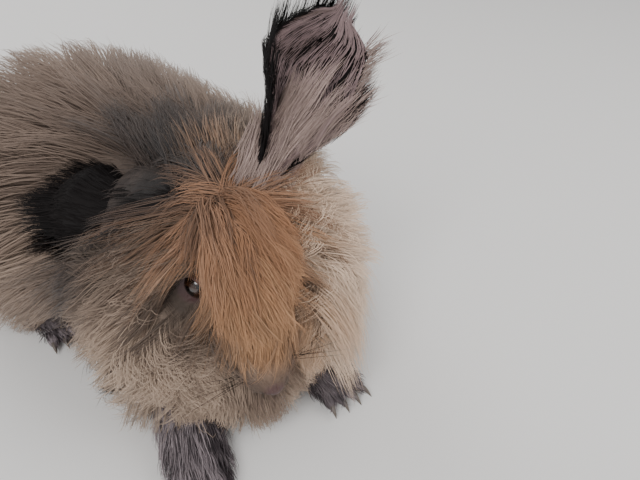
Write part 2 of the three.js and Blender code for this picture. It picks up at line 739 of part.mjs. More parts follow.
// Toes and claws fan out at the end of a leg, with their undersides flat on the floor
function toesAndClaws({ path, girth }, grow = 0) {
  const end = path[path.length - 1];
  const ahead = end.clone().sub(path[path.length - 2]).setZ(0).normalize();
  const across = ahead.clone().cross(V(0, 0, 1));
  const { wide } = girth(1);
  return Array.from({ length: TOES.count }, (_, i) => {
    const place = i - (TOES.count - 1) / 2;
    const turn = new THREE.Quaternion().setFromAxisAngle(V(0, 0, 1), -radians(place * TOES.fan));
    const facing = ahead.clone().applyQuaternion(turn);
    const at = end
      .clone()
      .addScaledVector(across, (place * wide * 1.5) / TOES.count)
      .addScaledVector(facing, 2 - Math.abs(place))
      .setZ(TOES.radii.z - 1.2);
    const toe = new THREE.SphereGeometry(1, 6, 4).scale(
      TOES.radii.x + grow,
      TOES.radii.y + grow,
      TOES.radii.z + grow,
    );
    const heading = new THREE.Quaternion().setFromUnitVectors(V(0, 1, 0), facing);
    toe.applyQuaternion(heading).translate(at.x, at.y, at.z);
    moveVertices(toe, (v) => v.setZ(Math.max(grow > 0 ? -GAP : 0, v.z)));
    const claw = new THREE.ConeGeometry(CLAW.radius + grow, CLAW.length + 2 * grow, 4);
    claw.translate(0, CLAW.length / 2, 0);
    const down = new THREE.Quaternion().setFromAxisAngle(V(-1, 0, 0), radians(CLAW.drop));
    const root = at.clone().addScaledVector(facing, TOES.radii.y * 0.72);
    claw.applyQuaternion(down).applyQuaternion(heading).translate(root.x, root.y, root.z + 1);
    moveVertices(claw, (v) => v.setZ(Math.max(grow > 0 ? -GAP : 0.2, v.z)));
    return union([solid(toe), solid(claw)]);
  });
}

// Locks that hang over a leg on its upper side, from under the wool to the wrist
function legFringe({ path, girth }) {
  const curve = new THREE.CatmullRomCurve3(path);
  return Array.from({ length: FRINGE.count }, (_, i) => {
    const share = lerp(0.45, 0.86, i / (FRINGE.count - 1));
    const angle = radians([20, 90, 160][i % 3] + around(0, 14));
    const tangent = curve.getTangentAt(share);
    const side = tangent.clone().cross(V(0, 0, 1)).normalize();
    const up = side.clone().cross(tangent);
    const { wide, tall } = girth(share);
    const outward = side.clone().multiplyScalar(Math.cos(angle)).addScaledVector(up, Math.sin(angle));
    const skin = Math.hypot(wide * Math.cos(angle), tall * Math.sin(angle));
    const root = curve.getPointAt(share).addScaledVector(outward, skin - 2.5);
    const run = FRINGE.length * around(1, 0.15);
    const elbow = root.clone().addScaledVector(outward, 6).addScaledVector(tangent, run * 0.4);
    const tip = root.clone().addScaledVector(outward, 5.5).addScaledVector(tangent, run);
    tip.z = Math.max(tip.z, HEM);
    return { bend: new THREE.QuadraticBezierCurve3(root, elbow, tip), width: FRINGE.width, outward };
  });
}

LEGS.forEach((each) => (each.fringe = legFringe(each)));

function leg(each, grow = 0) {
  return union([
    legBody(each, grow),
    ...toesAndClaws(each, grow),
    ...each.fringe.map((hanging) => lock(hanging, grow)),
  ]);
}

// Tail
function tailTufts() {
  const { count, width, length } = TAIL.tuft;
  return spread(count).map((direction) => {
    const root = TAIL.at.clone().add(direction.clone().multiply(TAIL.radii).multiplyScalar(0.86));
    const flow = V(0, 0.5, 1).addScaledVector(direction, 0.6).normalize();
    const elbow = root.clone().addScaledVector(direction, length * 0.3).addScaledVector(flow, length * 0.2);
    const tip = root.clone().addScaledVector(direction, length * 0.38).addScaledVector(flow, length * 0.8);
    const bend = new THREE.QuadraticBezierCurve3(root, elbow, tip);
    return { bend, width: width * around(1, 0.15), outward: direction };
  });
}
TAIL.tufts = tailTufts();

function tail(grow = 0) {
  const body = ellipsoid(TAIL.at, TAIL.radii.clone().addScalar(grow), 10, 7);
  return union([body, ...TAIL.tufts.map((tuft) => lock(tuft, grow))]);
}

// The whole coat, and the planes that part it into head, neck and trunk
const wool = [...woolOf(TRUNK_COAT), ...woolOf(RUFF_COAT, napeLocks()), ...woolOf(HEAD_COAT, bangs())];
const coat = union(wool).intersect(halfSpace({ through: V(0, 0, HEM), facing: V(0, 0, 1) }));
const headZone = carried(halfSpace(NAPE_PLANE).intersect(halfSpace(THROAT_PLANE)), HEAD_POSE);
const headRoom = carried(halfSpace(NAPE_PLANE, -GAP).intersect(halfSpace(THROAT_PLANE, -GAP)), HEAD_POSE);
const legsRoom = union(LEGS.map((each) => carried(leg(each, GAP), each.pose)));
const neckSide = halfSpace(NECK_PLANE, GAP);
const trunkSide = halfSpace({ through: NECK_PLANE.through, facing: NECK_PLANE.facing.clone().negate() });
const tailRoom = carried(tail(GAP), TRUNK_POSE);
const earsRoom = union(EARS.map((each) => carried(ear(each, EAR_GAP), HEAD_POSE)));

function headSolid() {
  const woolly = carried(coat.intersect(headZone).subtract(legsRoom), INTO_HEAD);
  const eyes = [LEFT, RIGHT].map((side) => eyeball(side, GAP));
  return union([woolly, ...faceForms()]).subtract(union([faceCuts(), ...eyes, carried(earsRoom, INTO_HEAD)]));
}

function neckSolid() {
  return coat.intersect(neckSide).subtract(union([headRoom, legsRoom, earsRoom]));
}

function torsoSolid() {
  return coat.intersect(trunkSide).subtract(union([headRoom, legsRoom, earsRoom, tailRoom]));
}

const rabbit = new THREE.Group();
const head = new THREE.Group();
HEAD_POSE.decompose(head.position, head.quaternion, head.scale);
head.add(mesh("head", headSolid(), COLOURS.wool));
EARS.forEach((each) => head.add(mesh(each.name, ear(each), COLOURS.ear)));
head.add(mesh("eye_left", eyeball(LEFT), COLOURS.eye));
head.add(mesh("eye_right", eyeball(RIGHT), COLOURS.eye));
rabbit.add(head);
rabbit.add(mesh("neck", neckSolid(), COLOURS.wool));
rabbit.add(mesh("torso", torsoSolid(), COLOURS.wool));
rabbit.add(mesh("tail", carried(tail(), TRUNK_POSE), COLOURS.smoke));
LEGS.forEach((each) => rabbit.add(mesh(each.name, carried(leg(each), each.pose), COLOURS.paw)));

// The origin is on the floor under the middle of the whole animal's box
const box = new THREE.Box3().setFromObject(rabbit, true);
rabbit.position.set(-(box.min.x + box.max.x) / 2, -(box.min.y + box.max.y) / 2, 0);
const standing = new THREE.Group().add(rabbit);

export default standing;
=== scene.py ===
# An angora rabbit crouching on a pale floor, seen from above its right side. Its wool is solid strands over
# one skin. Places and sizes are in millimetres in the rabbit's own frame, where it faces -y, its left is +x
# and the floor is z = 0. Meshes are made in metres and moved to the frame's place.
import math
from collections import namedtuple

import bpy
import numpy as np
from mathutils import Matrix, Vector


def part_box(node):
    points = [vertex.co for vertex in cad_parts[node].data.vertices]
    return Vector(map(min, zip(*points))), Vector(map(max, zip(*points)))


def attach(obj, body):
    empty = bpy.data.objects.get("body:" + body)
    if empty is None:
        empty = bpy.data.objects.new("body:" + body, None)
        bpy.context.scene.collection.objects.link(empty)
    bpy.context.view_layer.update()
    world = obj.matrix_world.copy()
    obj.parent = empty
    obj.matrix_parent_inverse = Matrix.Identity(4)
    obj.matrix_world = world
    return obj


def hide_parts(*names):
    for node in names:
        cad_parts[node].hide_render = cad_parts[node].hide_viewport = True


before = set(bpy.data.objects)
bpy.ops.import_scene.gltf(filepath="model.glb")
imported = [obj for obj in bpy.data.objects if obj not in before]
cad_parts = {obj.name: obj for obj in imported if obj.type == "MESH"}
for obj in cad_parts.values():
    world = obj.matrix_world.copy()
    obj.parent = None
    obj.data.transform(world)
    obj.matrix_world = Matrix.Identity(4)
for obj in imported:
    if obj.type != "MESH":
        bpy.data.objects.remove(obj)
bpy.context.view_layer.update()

MM = 0.001
BODY = "root"
LEFT = 1
RIGHT = -1
SIDES = (LEFT, RIGHT)
chance = np.random.default_rng(31)

# Camera, fitted to marks on the photograph
CAMERA_TARGET = (89, -64, 56)
CAMERA_DISTANCE = 459
CAMERA_AZIMUTH = -25.0
CAMERA_ELEVATION = 38.1
CAMERA_ROLL = 2.3
CAMERA_LENS = 32.3
CAMERA_SENSOR = 36

# Lights: name, place and target in metres in the CAD frame, width and watts
LIGHTS = [
    ("key", (-0.7, -0.9, 1.3), (0, -0.05, 0.08), 0.9, 16),
    ("fill", (1.1, -0.6, 0.9), (0, 0, 0.08), 1.2, 7),
    ("rim", (-0.3, 1.2, 1.1), (0, 0, 0.08), 1.0, 8),
]
SKY = 0.7

# Body forms, each a list of (place, radii). The trunk's frame turns about the shoulders.
SHOULDERS = (0, -48, 0)
TRUNK_TURN = 32
TRUNK_FLESH = [
    ((0, -48, 76), (48, 48, 44)),
    ((0, 20, 79), (54, 78, 47)),
    ((0, 84, 80), (58, 60, 50)),
    ((46, 72, 56), (24, 46, 40)),
    ((-46, 72, 56), (24, 46, 40)),
]
RUFF_FLESH = [
    ((0, -84, 96), (58, 44, 44)),
    ((0, -104, 64), (56, 38, 32)),
]
CROWN = (-4, -123, 166)
HEAD_YAW = 4.6
HEAD_PITCH = 46
HEAD_ROLL = 6.6
HEAD_FLESH = [
    ((0, -34, -30), (29, 40, 30)),
    ((0, -66, -30), (24, 36, 27)),
    ((0, -98, -28), (18, 25, 19)),
    ((0, -88, -42), (13, 22, 12)),
    ((13, -52, -47), (18, 30, 22)),
    ((-13, -52, -47), (18, 30, 22)),
]
HEAD_WOOL = [
    ((52, -46, -60), (50, 58, 46)),
    ((-56, -56, -62), (50, 62, 46)),
    ((-56, -86, -82), (50, 54, 34)),
    ((-8, -76, -72), (54, 74, 44)),
    ((0, -42, -8), (29, 60, 27)),
]
WHORL = (5, -12, 8)  # the head's wool radiates from here
SKIN_SHARE = 0.48  # the skin lies this far from flesh to tips
BURIED = 12  # no wool is rooted deeper than this in another form
MOST_LIFT = 34
UNDER_TIPS = 4
HEM = 1.5  # no wool below this
ROOT_HEIGHT = 4

# Face
EYE = (23, -50, -20)
EYE_RADIUS = 8.8
GAZE = (0.86, -0.36, 0.36)
LID_RADIUS = 8.5
LID_THICKNESS = 1.7
LID_HEIGHT = 0.82
NOSE = ((0, -120.5, -23), (6.5, 5, 4.6))
NOSTRIL = (3.7, -125.0, -23.4)
LIPS = ((5.6, -115.5, -33), (6.8, 8, 6.4))
MOUTH = [(0, -124, -38), (7, -119.5, -40), (12.5, -110, -41.5), (15.5, -99, -42)]
CLEFT = [(0, -126, -27), (0, -125, -32), (0, -122, -38)]
GROOVE_REACH = 2.2
GROOVE_DEPTH = 2.4
SOCKET_REACH = 1.2  # the skin draws in round an eye out to this far from it
SOCKET_DEPTH = 3
LID_FORWARD = 2.9
BARE_NOSE = (5.2, 5, 3.6)
BARE_GROOVE = 1.1
FUR_TO_EYE = 0.8  # how near an eye the short fur comes, and then the undercoat
UNDERCOAT_TO_EYE = 3
UNDERCOAT_TO_NOSE = 40
EYE_SURROUND = 20  # short fur covers this much round an eye, however deep the wool
EYE_FRONT = 8  # how far before an eye's centre its clear room is measured from
EYE_ROOM = 9
HOLLOW = 10  # the skin stays bare this near an eye, and rises over the next distance
HOLLOW_RIM = 14
SIGHT = [  # clear ways out from the eyes through the wool: side, direction, radius and length
    (LEFT, (0.93, -0.3, 0.2), 9, 50),
    (RIGHT, (-0.5, -0.25, 0.8), 9.5, 36),
    (RIGHT, (-0.86, -0.45, 0.2), 8, 50),
]
MUZZLE_ROOM = 12  # no wool hangs over the nose nearer than this

# Ears
EAR_LENGTH = 108
EAR_ARC = 80
EAR_CURL = (126, 54)  # how far round it curls to each side, at its foot and its tip
EAR_SKIN = 2.2
EAR_SINK = 6
EAR_ROOT_RADII = (7, 15, 7)
EARS = {
    "ear_left": {"root": (21, -5, -13), "along": (0.58, 0.24, 0.78), "opening": (0.1, -1, 0.15)},
    "ear_right": {"root": (-20, -5, -15), "along": (-0.67, 0.7, -0.22), "opening": (0.25, 0.1, -0.96)},
}
EAR_ROOM = 4
EAR_FOOT = 14
EAR_CLEAR = 34  # no wool lies over an ear up to this height
EAR_TIP_CLEAR = 15
FOOT_HAIR_ALONG = (-6, 22)
FOOT_HAIR_ACROSS = (-19, 19)
FOOT_COVERED = {"ear_left": 22, "ear_right": 9}  # wool may cover an ear up to this height

# Legs: centre lines from the body to the toes. The hind ones stand in the trunk's frame.
FORELEG_RIGHT = [
    (-38, -86, 60),
    (-41, -118, 40),
    (-43, -148, 18),
    (-45, -176, 8),
    (-46, -200, 6),
    (-46, -218, 5),
]
FORELEG_LEFT = [(38, -76, 60), (42, -98, 40), (47, -118, 18), (53, -138, 8), (58, -155, 6), (61, -168, 5)]
HIND_FOOT_RIGHT = [(-72, 126, 10), (-78, 91, 9), (-84, 56, 9), (-90, 21, 8)]
HIND_FOOT_LEFT = [(70, 122, 10), (75, 87, 9), (80, 51, 9), (86, 15, 8)]
THIGH_RIGHT = [(-50, 62, 62), (-64, 96, 42), (-71, 118, 18)]
THIGH_LEFT = [(50, 58, 62), (62, 92, 42), (69, 114, 18)]
# Half a limb's width, its change out to the toes, and the same for its height
FORELEG_GIRTH = (18, 3, 19, -8)
FOOT_GIRTH = (14, 4, 12, 0)
THIGH_GIRTH = (22, -9, 24, -12)
LEG_INSET = 2.5  # how far the skin of a leg lies inside its fur
TOE_COUNT = 4
TOE_RADII = (4.2, 10, 6.5)
TOE_FAN = 9
CLAW_RADIUS = 1.6
CLAW_LENGTH = 8.5
CLAW_DROP = 24
CLAW_HEIGHT = 1.6
TOE_ROOM = ((-115, -44, 6), (-0.33, -0.71, 0.62), 15, 40)  # clear way in to the right hind toes
TAIL_AT = (0, 172, 72)
TAIL_RADII = (19, 22, 27)

# Long wool: locks, strands to a lock, a strand's length, width and wave, places along it, and how far
# the locks may stand proud of the coat
Wool = namedtuple("Wool", "locks strands length width wave steps proud", defaults=[0])
TRUNK_WOOL = Wool(640, 26, 62, 0.85, 2.2, 5)
RUFF_WOOL = Wool(380, 22, 52, 0.7, 1.3, 5)
HEAD_WOOL_LOCKS = Wool(900, 35, 50, 0.52, 1.0, 5)
BANGS = Wool(170, 26, 66, 0.6, 2.2, 6)
NAPE = Wool(90, 34, 46, 0.75, 3.0, 6)
JOWL = Wool(80, 26, 60, 0.6, 2.6, 5)
MUZZLE = Wool(70, 14, 17, 0.5, 0.8, 4)
EAR_FOOT_HAIR = Wool(34, 20, 36, 0.6, 1.2, 5)
CUP_HAIR = Wool(30, 26, 48, 0.55, 1.6, 5)
RIM_HAIR = Wool(40, 16, 19, 0.5, 1.2, 5)
TASSEL = Wool(26, 30, 38, 0.55, 1.2, 5)
TAIL_FUR = Wool(60, 22, 24, 0.8, 1.2, 5)
LEG_FRINGE = Wool(22, 22, 30, 0.7, 1.4, 5)
LOOSE = Wool(0, 3, 64, 0.4, 1.6, 5, proud=4)
LOOSE_LOCKS = {"trunk": 600, "ruff": 260, "head": 700}

# Short fur: strands, their length and width, and places along each
Fur = namedtuple("Fur", "strands length width steps")
UNDERCOAT = Fur({"trunk": 3000, "ruff": 1500, "head": 3600}, 17, 0.8, 4)
FACE_FUR = Fur(7200, 9, 0.55, 4)
LEG_FUR = Fur(2300, 16, 0.65, 4)
HIND_FUR = Fur(800, 15, 0.7, 4)
TOE_HAIRS = 130
EAR_BACK_FUR = Fur(1700, 11, 0.6, 5)
EAR_CUP_FUR = Fur(1360, 13, 0.6, 5)
WHISKERS = Fur(22, 46, 0.35, 6)
WHISKER_SAG = 6
FUR_BELOW = 9  # where the wool is shallower than this, short fur grows instead
OWN_SHADE = 0.4  # how much of a strand's shading is its own, the rest being the whole form's
STRAND_FLATNESS = 0.55
MOST_TRIANGLES = 190000  # in one piece of the coat
PATCH = 0.003  # size of a strand's patch on the bake map

# Where the locks over the face, the nape and the muzzle have their roots
BANGS_ACROSS = (-19, 26)
BANGS_BACK = (-54, 4)
BROW = 22.0  # the bangs are laid out at this height in the head's frame
NAPE_ACROSS = (-42, 34)
NAPE_BACK = (-118, -62)
NAPE_HEIGHT = 148
MUZZLE_BACK = (-117, -92)

# Where each form's strands lie on the bake map: left, bottom, width, height
TILES = {
    "trunk": (0.01, 0.01, 0.48, 0.48),
    "ruff": (0.51, 0.01, 0.23, 0.48),
    "head": (0.01, 0.51, 0.48, 0.48),
    "bangs": (0.76, 0.01, 0.11, 0.23),
    "nape": (0.88, 0.01, 0.11, 0.11),
    "jowl": (0.88, 0.13, 0.11, 0.11),
    "ear_left": (0.76, 0.26, 0.11, 0.23),
    "ear_right": (0.88, 0.26, 0.11, 0.23),
    "foreleg_right": (0.51, 0.51, 0.23, 0.23),
    "foreleg_left": (0.51, 0.76, 0.23, 0.23),
    "hind_leg_right": (0.76, 0.51, 0.23, 0.11),
    "hind_leg_left": (0.76, 0.64, 0.23, 0.11),
    "tail": (0.76, 0.77, 0.23, 0.11),
    "face": (0.76, 0.89, 0.23, 0.1),
}


def tone(red, green, blue):
    """A colour given as it looks on a screen, from 0 to 255, as the linear values that shaders use."""
    values = [channel / 255 for channel in (red, green, blue)]
    return (*[c / 12.92 if c <= 0.04045 else ((c + 0.055) / 1.055) ** 2.4 for c in values], 1.0)


ORANGE = tone(174, 132, 97)
RUST = tone(146, 100, 72)
FAWN = tone(232, 204, 180)
BEIGE = tone(176, 154, 136)
TAN = tone(146, 127, 113)
SMOKE = tone(92, 76, 68)
SOOT = tone(54, 44, 40)
NEAR_BLACK = tone(22, 18, 18)
EAR_GREY = tone(144, 123, 123)
EAR_PALE = tone(168, 147, 139)
PAW_GREY = tone(142, 131, 134)
PAW_DARK = tone(62, 55, 58)
MUZZLE_BROWN = tone(88, 70, 60)
BARE_SKIN = tone(78, 54, 52)
CLAW_HORN = tone(88, 78, 70)
IRIS = tone(52, 30, 18)
PUPIL = tone(8, 6, 6)
EYE_RIM = tone(20, 14, 12)
FLOOR = tone(226, 224, 222)


def unit(vectors):
    vectors = np.asarray(vectors, float)
    return vectors / np.maximum(np.linalg.norm(vectors, axis=-1, keepdims=True), 1e-9)


def between(low, high, *shape):
    return chance.uniform(low, high, shape)


def columns(*parts):
    """Places or directions from their x, y and z, each one number or one for every row."""
    return np.stack(np.broadcast_arrays(*parts), axis=1)


def share_of(value, low, high):
    return (value - low) / (high - low)


def mirrored(place, side):
    """A place or direction that is given for the left side, on the side asked for."""
    return np.array(place, float) * (side, 1, 1)


def nearest(points, places):
    """How far each point is from the nearest of some places."""
    return np.min([np.linalg.norm(points - place, axis=1) for place in places], axis=0)


# Fields: negative inside a form, zero on its surface
def ellipsoid_value(points, at, radii):
    q = (points - np.array(at)) / np.array(radii)
    size = np.linalg.norm(q, axis=-1)
    steep = np.linalg.norm(q / np.array(radii), axis=-1) + 1e-6
    return size * (size - 1) / steep


def smooth_min(a, b, width):
    share = np.clip(0.5 + (b - a) / (2 * width), 0, 1)
    return b + (a - b) * share - width * share * (1 - share)


def fused(shapes, width, swell=0.0):
    def field(points):
        value = ellipsoid_value(points, *shapes[0])
        for shape in shapes[1:]:
            value = smooth_min(value, ellipsoid_value(points, *shape), width)
        return value - swell

    return field


def reach(field, centre, directions):
    distance = np.zeros(len(directions))
    for _ in range(70):
        distance -= 0.8 * field(centre + directions * distance[:, None])
    return distance


def slope(field, points):
    steps = np.eye(3) * 0.5
    return unit(np.stack([field(points + step) - field(points - step) for step in steps], axis=-1))


# Poses
def head_pose():
    yaw, pitch = math.radians(HEAD_YAW), math.radians(HEAD_PITCH)
    forward = Vector((math.sin(yaw) * math.cos(pitch), -math.cos(yaw) * math.cos(pitch), -math.sin(pitch)))
    level = Vector((0, 0, 1)).cross(forward).normalized()
    dorsal = forward.cross(level)
    dorsal.rotate(Matrix.Rotation(math.radians(HEAD_ROLL), 3, forward))
    left = dorsal.cross(forward)
    return Matrix.LocRotScale(Vector(CROWN), Matrix((left, -forward, dorsal)).transposed(), None)


STILL = np.eye(4)
HEAD_POSE = np.array(head_pose())
TRUNK_POSE = np.array(
    Matrix.Translation(SHOULDERS)
    @ Matrix.Rotation(math.radians(TRUNK_TURN), 4, "Z")
    @ Matrix.Translation(-Vector(SHOULDERS))
)


def carried(points, pose):
    return np.asarray(points, float) @ pose[:3, :3].T + pose[:3, 3]


def turned(vectors, pose):
    return np.asarray(vectors, float) @ pose[:3, :3].T


def brought(points, pose):
    return (np.asarray(points, float) - pose[:3, 3]) @ pose[:3, :3]


def in_pose(pose, points, *directions):
    return carried(points, pose), *[turned(each, pose) for each in directions]


def gaze(side):
    return unit(mirrored(GAZE, side))


def eye_place(side, forward=0.0):
    return carried(mirrored(EYE, side) + gaze(side) * forward, HEAD_POSE)


# The rabbit's frame is moved to the CAD frame by the place of its left eye
eye_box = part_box("eye_left")
SHIFT = np.array((eye_box[0] + eye_box[1]) / 2) / MM - carried(EYE, HEAD_POSE)


def placed(points):
    return (np.asarray(points, float) + SHIFT) * MM


class Form:
    """A rounded part of the body under wool, measured outward from its centre."""

    def __init__(self, tile, centre, stretch, flesh, softness, pose, lie, depth=0, wool=None, hollows=()):
        self.tile, self.pose, self.lie, self.hollows = tile, pose, lie, hollows
        self.centre = np.array(centre, float)
        self.stretch = np.array(stretch, float)
        self.flesh_field = fused(flesh, softness)
        self.tip_field = fused(wool, softness) if wool else fused(flesh, softness, depth)

    def bare(self, directions):
        return reach(self.flesh_field, self.centre, directions)

    def tips(self, directions):
        return np.maximum(self.bare(directions), reach(self.tip_field, self.centre, directions))

    def skin(self, directions):
        bare, tips = self.bare(directions), self.tips(directions)
        share = np.full(len(directions), SKIN_SHARE)
        if self.hollows:
            places = self.centre + directions * (0.5 * (bare + tips))[:, None]
            share = share * np.clip((nearest(places, self.hollows) - HOLLOW) / HOLLOW_RIM, 0, 1)
        return bare + share * (tips - bare)

    def tip_value(self, points):
        return self.tip_field(brought(points, self.pose))

    def holds(self, points, margin):
        out = brought(points, self.pose) - self.centre
        return np.linalg.norm(out, axis=1) < self.skin(unit(out)) - margin


def trunk_lie(places):
    x, z = places[:, 0], places[:, 2]
    return columns(x * 0.006, 0.75, -0.55 - 0.004 * np.maximum(0, 120 - z))


def ruff_lie(places):
    x, z = places[:, 0], places[:, 2]
    return columns(x * 0.012, 0.3 - 0.008 * np.maximum(0, 96 - z), -0.5)


def head_lie(places):
    return places - np.array(WHORL)


def laid_back(along):
    """A place that far along the middle line of the ear that is laid back."""
    return EARS["ear_right"]["root"] + unit(EARS["ear_right"]["along"]) * along


EYES = [mirrored(EYE, side) for side in SIDES]
HOLLOWS = [eye + gaze(side) * EYE_FRONT for eye, side in zip(EYES, SIDES)]
HOLLOWS += [laid_back(along) for along in (14, 28, 42, 56)]
TRUNK = Form("trunk", (0, 30, 82), (1, 1.35, 0.9), TRUNK_FLESH, 26, TRUNK_POSE, trunk_lie, depth=56)
RUFF = Form("ruff", (0, -88, 88), (1, 0.9, 0.9), RUFF_FLESH, 16, STILL, ruff_lie, depth=46)
HEAD = Form(
    "head", (0, -44, -40), (1, 1.4, 1), HEAD_FLESH, 12, HEAD_POSE, head_lie, wool=HEAD_WOOL, hollows=HOLLOWS
)
FORMS = [TRUNK, RUFF, HEAD]


def golden_spread(count):
    """Directions spread evenly over a ball."""
    i = np.arange(count)
    height = 1 - (2 * i + 1) / count
    radius = np.sqrt(1 - height * height)
    turn = math.pi * (3 - math.sqrt(5))
    return columns(radius * np.cos(i * turn), radius * np.sin(i * turn), height)


def tile_place(tile, across, along):
    """A place on the bake map, from shares of 0 to 1 over a form's tile."""
    left, bottom, width, height = TILES[tile]
    return columns(left + width * np.clip(across, 0, 1), bottom + height * np.clip(along, 0, 1))


def ball_place(tile, directions):
    """The same for a direction from a form's centre, unwrapped round the form's length."""
    round_share = np.arctan2(directions[:, 2], directions[:, 0]) / (2 * math.pi) + 0.5
    length_share = np.arccos(np.clip(directions[:, 1], -1, 1)) / math.pi
    return tile_place(tile, round_share, length_share)


def lifted(points, normals):
    """Where forms meet, wool rises until it comes out at the outermost tips."""
    left = np.full(len(points), float(MOST_LIFT))
    points = points.copy()
    for _ in range(5):
        short = -np.min([form.tip_value(points) for form in FORMS], axis=0) - UNDER_TIPS
        short = np.clip(short, 0, left)
        points += normals * short[:, None]
        left -= short
    return points


# Ears
def ear_frame(name):
    shape = EARS[name]
    into_head = HEAD_POSE[:3, :3].T
    axis = unit(into_head @ np.array(shape["along"]))
    side = unit(np.cross(into_head @ unit(shape["opening"]), axis))
    return {"root": np.array(shape["root"], float), "axis": axis, "side": side, "front": np.cross(axis, side)}


def ear_section(share):
    opened = np.minimum(1, 0.26 + 1.4 * share)
    closed = np.clip((share - 0.5) / 0.5, 0, 1)
    width = EAR_ARC * opened * np.sqrt(1 - 0.93 * closed**2.4)
    low, high = EAR_CURL
    half_angle = np.radians(low + (high - low) * np.minimum(1, share * 1.5))
    return half_angle, width / (2 * half_angle), EAR_ARC * opened * 0.36


def ear_place(ear, share, edge, lift):
    """Places on an ear, and its outward direction there: share along it, edge from -1 to 1 across it."""
    half_angle, radius, spine = ear_section(share)
    angle = edge * half_angle
    outward = np.sin(angle)[:, None] * ear["side"] - np.cos(angle)[:, None] * ear["front"]
    along = EAR_SINK + share * (EAR_LENGTH - EAR_SINK)
    middle = along[:, None] * ear["axis"] + np.minimum(radius, spine)[:, None] * ear["front"]
    return ear["root"] + middle + outward * (radius + lift)[:, None], outward


def ear_distance(points):
    """Distance in the rabbit's frame from the middle line of the nearer ear, above its foot."""
    found = []
    for name in EARS:
        ear = ear_frame(name)
        start = carried(ear["root"] + ear["axis"] * EAR_FOOT, HEAD_POSE)
        run = turned(ear["axis"], HEAD_POSE) * (EAR_LENGTH - EAR_FOOT)
        share = np.clip(((points - start) @ run) / (run @ run), 0, 1)
        found.append(np.linalg.norm(points - start - share[:, None] * run, axis=1))
    return np.minimum(*found)


# Locks
def guide(root, elbow, tip, outward, place, pose=STILL):
    """Locks as curves with a root, an elbow and a tip, brought from the pose they are given in."""
    root, elbow, tip = (carried(points, pose) for points in (root, elbow, tip))
    return {"root": root, "elbow": elbow, "tip": tip, "outward": turned(outward, pose), "place": place}


def kept(locks, chosen):
    return {name: values[chosen] for name, values in locks.items()}


def off_face(locks):
    """Which locks keep clear of the eyes and the ears."""
    middle = 0.25 * locks["root"] + 0.5 * locks["elbow"] + 0.25 * locks["tip"]
    eyes = [eye_place(side, EYE_FRONT) for side in SIDES]
    clear = np.minimum(nearest(middle, eyes), nearest(locks["tip"], eyes)) > EYE_ROOM
    return clear & (np.minimum(ear_distance(middle), ear_distance(locks["tip"])) > EAR_ROOM)


def outside_others(form, root, buried):
    """Which roots aren't deeper than that in another form, and not too near the floor."""
    shows = root[:, 2] > ROOT_HEIGHT
    for other in FORMS:
        if other is not form:
            shows &= ~other.holds(root, buried)
    return shows


def form_locks(form, wool):
    """Locks spread over a form: each rises along the normal, lies along the coat and ends at its tips."""
    even = golden_spread(wool.locks) * form.stretch
    directions = unit(unit(even) + between(-0.03, 0.03, len(even), 3))
    skin, tips = form.skin(directions), form.tips(directions)
    deep = tips - skin
    root = form.centre + directions * skin[:, None]
    normal = slope(form.tip_field, root)
    flow = form.lie(root)
    flow = unit(flow - normal * np.sum(flow * normal, axis=1, keepdims=True))
    flow = unit(flow + np.cross(flow, normal) * between(-0.25, 0.25, len(root), 1))
    run = wool.length * between(0.8, 1.15, len(root), 1)
    outward = unit(root + flow * run + normal * deep[:, None] - form.centre)
    tip = form.centre + outward * (form.tips(outward) * between(0.93, 1.01, len(root)))[:, None]
    elbow = root + normal * deep[:, None] * between(0.6, 1.0, len(root), 1) + flow * run * 0.42
    proud = between(0, 1, len(root), 1) * wool.proud
    elbow, tip = elbow + normal * proud * 0.5, tip + normal * proud
    locks = guide(root, elbow, tip, normal, ball_place(form.tile, directions), form.pose)
    for part in ("elbow", "tip"):
        locks[part] = lifted(locks[part], locks["outward"])
    grows = (deep > FUR_BELOW * (1 - SKIN_SHARE)) & outside_others(form, locks["root"], BURIED)
    return kept(locks, grows & off_face(locks))


def on_face(across, back, off):
    """Places over the middle of the face, off beyond the wool's tips, in the head's frame."""
    directions = unit(columns(across, back, BROW) - HEAD.centre)
    return HEAD.centre + directions * (HEAD.tips(directions) + off)[:, None]


def bang_locks():
    """Long locks that fall from the crown, down the face and fanned out over the left cheek."""
    count = BANGS.locks
    across = between(*BANGS_ACROSS, count)
    low, high = BANGS_BACK
    back = high - (high - low) * between(0, 1, count)
    heading = np.interp(across, [BANGS_ACROSS[0], 0, BANGS_ACROSS[1]], [-12, 12, 66])
    heading = np.radians(heading + between(-20, 20, count))
    run = BANGS.length * between(0.5, 1.1, count)
    root = on_face(across * 0.8, back, -9)
    sideways, ahead = run * np.sin(heading), run * np.cos(heading)
    elbow = on_face(across + sideways * 0.4, back - ahead * 0.45, between(3, 17, count))
    tip = on_face(across + sideways, np.maximum(back - ahead, -112), between(-3, 8, count))
    place = tile_place("bangs", share_of(across, *BANGS_ACROSS), share_of(back, *BANGS_BACK))
    return guide(root, elbow, tip, unit(columns(across * 0.02, -0.3, 1.0)), place, HEAD_POSE)


def nape_locks():
    """Waved locks that run back from the crown between the ears and over the shoulders."""
    count = NAPE.locks
    x, y = between(*NAPE_ACROSS, count), between(*NAPE_BACK, count)
    root = columns(x, y, NAPE_HEIGHT - 0.1 * np.abs(x))
    run = NAPE.length * between(0.7, 1.2, count)
    up = np.tile((0.0, 0.0, 1.0), (count, 1))
    elbow = root + columns(x * 0.25, run * 0.35, between(22, 34, count))
    tip = lifted(root + columns(x * 0.5 + between(-10, 10, count), run, 0.0), up)
    place = tile_place("nape", share_of(x, *NAPE_ACROSS), share_of(y, *NAPE_BACK))
    return kept(guide(root, elbow, tip, up, place), ear_distance(elbow) > EAR_ROOM)


